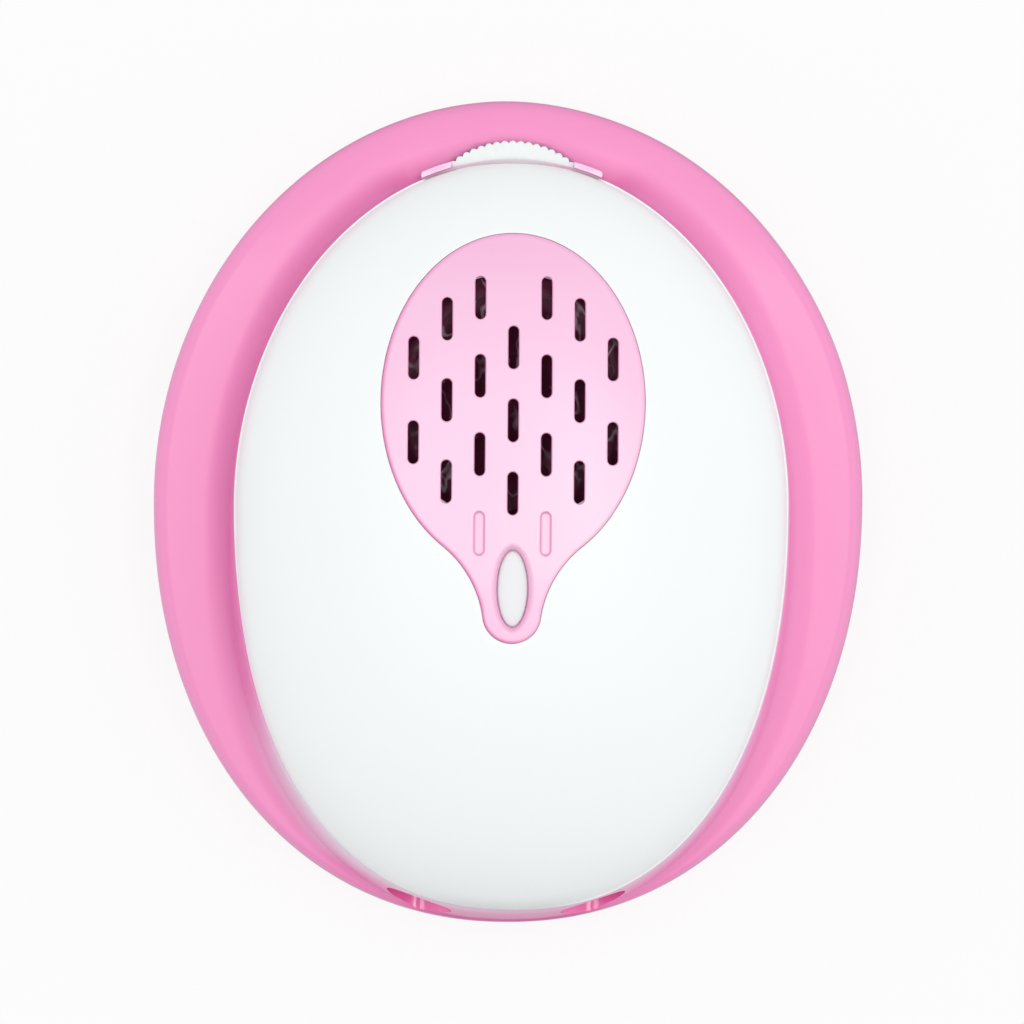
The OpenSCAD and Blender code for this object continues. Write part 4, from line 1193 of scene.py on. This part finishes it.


# The ring's painted light and shade: shade in its hollow, a milky reflection below the cover, a highlight
# on its lip, shade on its rim and the wheel's shadow.
finishes["ring"] = tinted("pink_painted_light_and_shade", ring, PINK, 0.36,
                          (("cove", painted_cove_shade, written(218, 106, 168), 0.7),
                           ("painted_reflection", painted_reflection, written(234, 224, 238), 0.8),
                           ("lip", lip_glow, written(252, 200, 228), 0.6),
                           ("rim", rim_shade, written(198, 106, 156), 0.7),
                           ("slot", wheel_shade, written(150, 78, 124), 0.8)))
print("ring tinted at", len(ring.data.vertices), "places")

# %% Painted shade and highlights on the cover, the grille and the bezel
def foot_shade(place):
    """The foot of the cover between the earphone pockets is a little darker."""
    inside = -from_cover(place)[1]
    return (place.y < 0) * (1 - ease(5, 12, abs(place.x))) * (1 - ease(-0.6, 2, inside))


def painted_highlight_part(place):
    """A painted highlight: the grille is palest in the lower part of its bowl, on the right."""
    low = (1 - ease(-2, 22, place.y)) * ease(-12, -6, place.y)
    return low * (0.3 + 0.7 * ease(-10, 12, place.x))


# Painted shade: the top of the grille's bowl, and its tip at half strength, are a deeper pink.
def painted_shade_part(place):
    return max(ease(27, 36, place.y), 0.5 * (1 - ease(-13, -9, place.y)))


def groove_ends_painted_shade(place):
    """Painted shade: 1 on the floor of the bezel's groove, where it is longer than the narrow bar."""
    return (abs(place.z - GROOVE_Z) < 0.02) * ease(6.5, 8.4, abs(place.x))


# A painted shadow of the cover's edge: a grey on the groove's floor over the wheel.
def groove_middle_painted_shade(place):
    return (abs(place.z - GROOVE_Z) < 0.02) - groove_ends_painted_shade(place)


def painted_edge_shade(place):
    """Painted shade: 1 where an edge of the grille turns down, most of all on the side away from the
    light.
    """
    drop = dome_z(place) - place.z
    if drop > GRILLE_T - 0.2:
        return 0
    out = Vector(place[:2]) - CENTRE
    _, outline, normal = rays[round(math.atan2(out.y, out.x) / TURN * RAYS) % RAYS]
    inside = (outline - Vector(place[:2])).dot(normal) + TRIM
    shade = 0.3 + 0.7 * ease(-0.3, 0.9, -normal.dot(Vector((0.85, 0.5))))
    turned_down = ease(0.02, 0.3, drop) if inside > 0.4 else 0
    if abs(place.y - BLIND_Y) < 3.2 and abs(abs(place.x) - SLOT_STEP) < 1:
        turned_down *= 1 - ease(0.35, 0.43, drop)
    elif Vector((place.x - WINDOW_X, 0.45 * (place.y - WINDOW_Y))).length < 3.1:
        turned_down *= 0.45
    return max(turned_down, shade * (1 - ease(0.1, 0.62, inside)))


# The grille gets a painted highlight and painted shade; the cover's foot and the bezel's groove get
# painted shade.
finishes["pale_pink"] = tinted("pale_pink_painted_light", plate, PALE_PINK, 0.34,
                               (("pale", painted_highlight_part, written(250, 209, 231), 1.0),
                                ("deep", painted_shade_part, written(250, 192, 226), 1.0),
                                ("edge", painted_edge_shade, written(232, 118, 182), 0.75)),
                               Specular_IOR_Level=0.65)
finishes["white_shell"] = tinted("white_gloss", cover, WHITE, 0.4,
                                 (("foot", foot_shade, written(226, 229, 230), 0.8),), 0.006,
                                 Specular_IOR_Level=0.25)
finishes["bezel"] = tinted("bezel_painted_shade", bezel, written(250, 206, 236), 0.3,
                           (("middle", groove_middle_painted_shade, written(209, 202, 207), 1.0),
                            ("ends", groove_ends_painted_shade, written(198, 143, 172), 1.0)))
print("cover, grille and bezel tinted")

# %% [markdown]
# The loudspeaker film is thin and slightly crumpled. Painted glints stand for the light its
# creases catch: fine pale curved lines in its colour. They are the contour lines of a slow
# noise, and a second noise hides most of them.

# %% Speaker film's finish
def film_with_painted_glints():
    shader = Shader("speaker_film", Specular_IOR_Level=0.15)
    slow = shader.noise(420, 1, stretch=(1, 0.6, 0.3), turn=0.6)
    shown = ((shader.noise(190, 2) - 0.42) * 6.0).clamped()
    # Pale painted glints along the creases, on the film's dark colour.
    painted_glints = (1 - 22 * abs(slow - 0.5)).clamped() * shown
    shader.colour(shader.blend_colours(painted_glints, written(116, 50, 80), written(226, 206, 216)))
    shader.roughness(0.36 + 0.1 * slow)
    shader.bump(slow, 0.1 * MM)
    return shader


finishes["cone"] = film_with_painted_glints()

# %% [markdown]
# Metal parts are another recipe: full metallic, with fine lines along one direction in the
# roughness and the bump, as turning, drawing or rolling leaves them.

# %% Metals
def machined(name, colour, roughness, stretch=(1, 1, 0.05)):
    shader = Shader(name, Metallic=1.0)
    lines = shader.noise(4000, 2, stretch=stretch)
    shader.colour(shader.blend_colours(shader.noise(300, 2), stronger(colour, 0.85), colour))
    shader.roughness(roughness + 0.15 * (lines - 0.5))
    shader.bump(lines, 0.004 * MM)
    return shader


finishes.update({
    "steel": machined("zinc_plate", written(200, 202, 206), 0.28),
    "can_metal": machined("drawn_can", written(190, 192, 196), 0.32),
    "brass": machined("contact_brass", written(214, 186, 120), 0.3),
    "magnet": machined("plated_pot", written(120, 121, 124), 0.4),
    "copper": machined("coil_wire", written(196, 112, 62), 0.35),
})
slot_of = {part["node"]: part["material_slot"] for part in frame["record"]["subparts"]}
for name, node in frame["nodes"].items():
    node.data.materials.clear()
    node.data.materials.append(finishes[slot_of[name]].material)
own_finish = {ring: "ring", bezel: "bezel"}
pieces = (cover, ring, rear, door, plate, window, wheel, bezel, film, film_edge)
for piece in pieces:
    piece.data.materials.clear()
    piece.data.materials.append(finishes[own_finish.get(piece, piece["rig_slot"])].material)


def in_pocket(vert):
    off = Vector((abs(vert.co.x) / MM - JACK_X, vert.co.z / MM - JACK_Z))
    return vert.co.y / MM < POCKET_FLOOR + 0.1 and off.length < POCKET_R + 0.02


# The walls of the earphone pockets take the pink with painted light.
ring.data.materials.append(finishes["pocket"].material)
pocket_verts = {vert.index for vert in ring.data.vertices if in_pocket(vert)}
for face in ring.data.polygons:
    face.material_index = int(pocket_verts.issuperset(face.vertices))
print("materials on", len(frame["nodes"]), "nodes and", len(pieces), "pieces")

# %% [markdown]
# ## Studio
# The object lies on a white sweep. Most of the light is the white room, a little brighter at
# the sides. The camera and clear parts see one plain, nearly white backdrop instead of it.
# Two long soft boxes, of which the right one is the stronger, hang overhead with the camera
# looking down between them. They show as a pair of pale lines in the earphone pockets.

# %% Floor
FLOOR_GLOW = 0.86
bm = bmesh.new()
bmesh.ops.create_grid(bm, x_segments=1, y_segments=1, size=1500)
floor = to_object("floor", bm)
floor.data.transform(Matrix.Scale(MM, 4))
sweep = Shader("white_sweep", Roughness=0.9, Specular_IOR_Level=0.1)
sweep.surface.inputs["Base Color"].default_value = written(240, 240, 241)
glow = sweep.node("ShaderNodeEmission", None, {"Color": (1, 1, 1, 1), "Strength": 1.0})
mix = sweep.node("ShaderNodeMixShader", None,
                 {0: sweep.met_by("Camera", "Glossy", "Transmission") * FLOOR_GLOW,
                  1: sweep.surface.outputs[0], 2: glow.outputs[0]})
sweep.tree.links.new(mix.outputs[0], sweep.tree.nodes["Material Output"].inputs["Surface"])
floor.data.materials.append(sweep.material)
floor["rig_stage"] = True
print("floor laid")

# %% World and lamps
ROOM = 0.39
BACKDROP = 0.97
BOX_SIDE, BOX_UP, BOX_HIGH = 205, 40, 1000
BOX_WIDTH, BOX_LENGTH = 280, 500
world = bpy.data.worlds.new("studio")
room = Graph(world)
across_room = room.node("ShaderNodeSeparateXYZ", None,
                        {0: room.node("ShaderNodeTexCoord").outputs["Generated"]}).outputs
sideways, forward = Value(room, across_room["X"]), Value(room, across_room["Y"])
walls = room.tree.nodes["Background"].inputs
walls["Color"].default_value = (1, 1, 1, 1)
light = ROOM + 0.85 * abs(sideways) + 0.05 * sideways - 0.25 * abs(forward) + 0.1 * forward
room.feed(walls["Strength"], light + room.met_by("Camera", "Transmission") * (BACKDROP - light))
bpy.context.scene.world = world


for name, x, power in (("box_right", BOX_SIDE, 2.2), ("box_left", -BOX_SIDE, 1.76)):
    soft_box = bpy.data.lights.new(name, "AREA")
    soft_box.shape = "RECTANGLE"
    soft_box.size = BOX_WIDTH * MM
    soft_box.size_y = BOX_LENGTH * MM
    soft_box.energy = power
    lamp = bpy.data.objects.new(name, soft_box)
    bpy.context.scene.collection.objects.link(lamp)
    lamp.location = (x * MM, BOX_UP * MM, BOX_HIGH * MM)
    lamp.rotation_euler = (0, math.atan2(x, BOX_HIGH), 0)
bpy.context.scene.view_settings.view_transform = "Standard"
print("studio ready")

# %% Measure against the CAD box
seen_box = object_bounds()
for axis in range(3):
    spans = cad_box[0][axis], seen_box[0][axis], seen_box[1][axis], cad_box[1][axis]
    print("XYZ"[axis], [round(v / MM, 2) for v in spans])
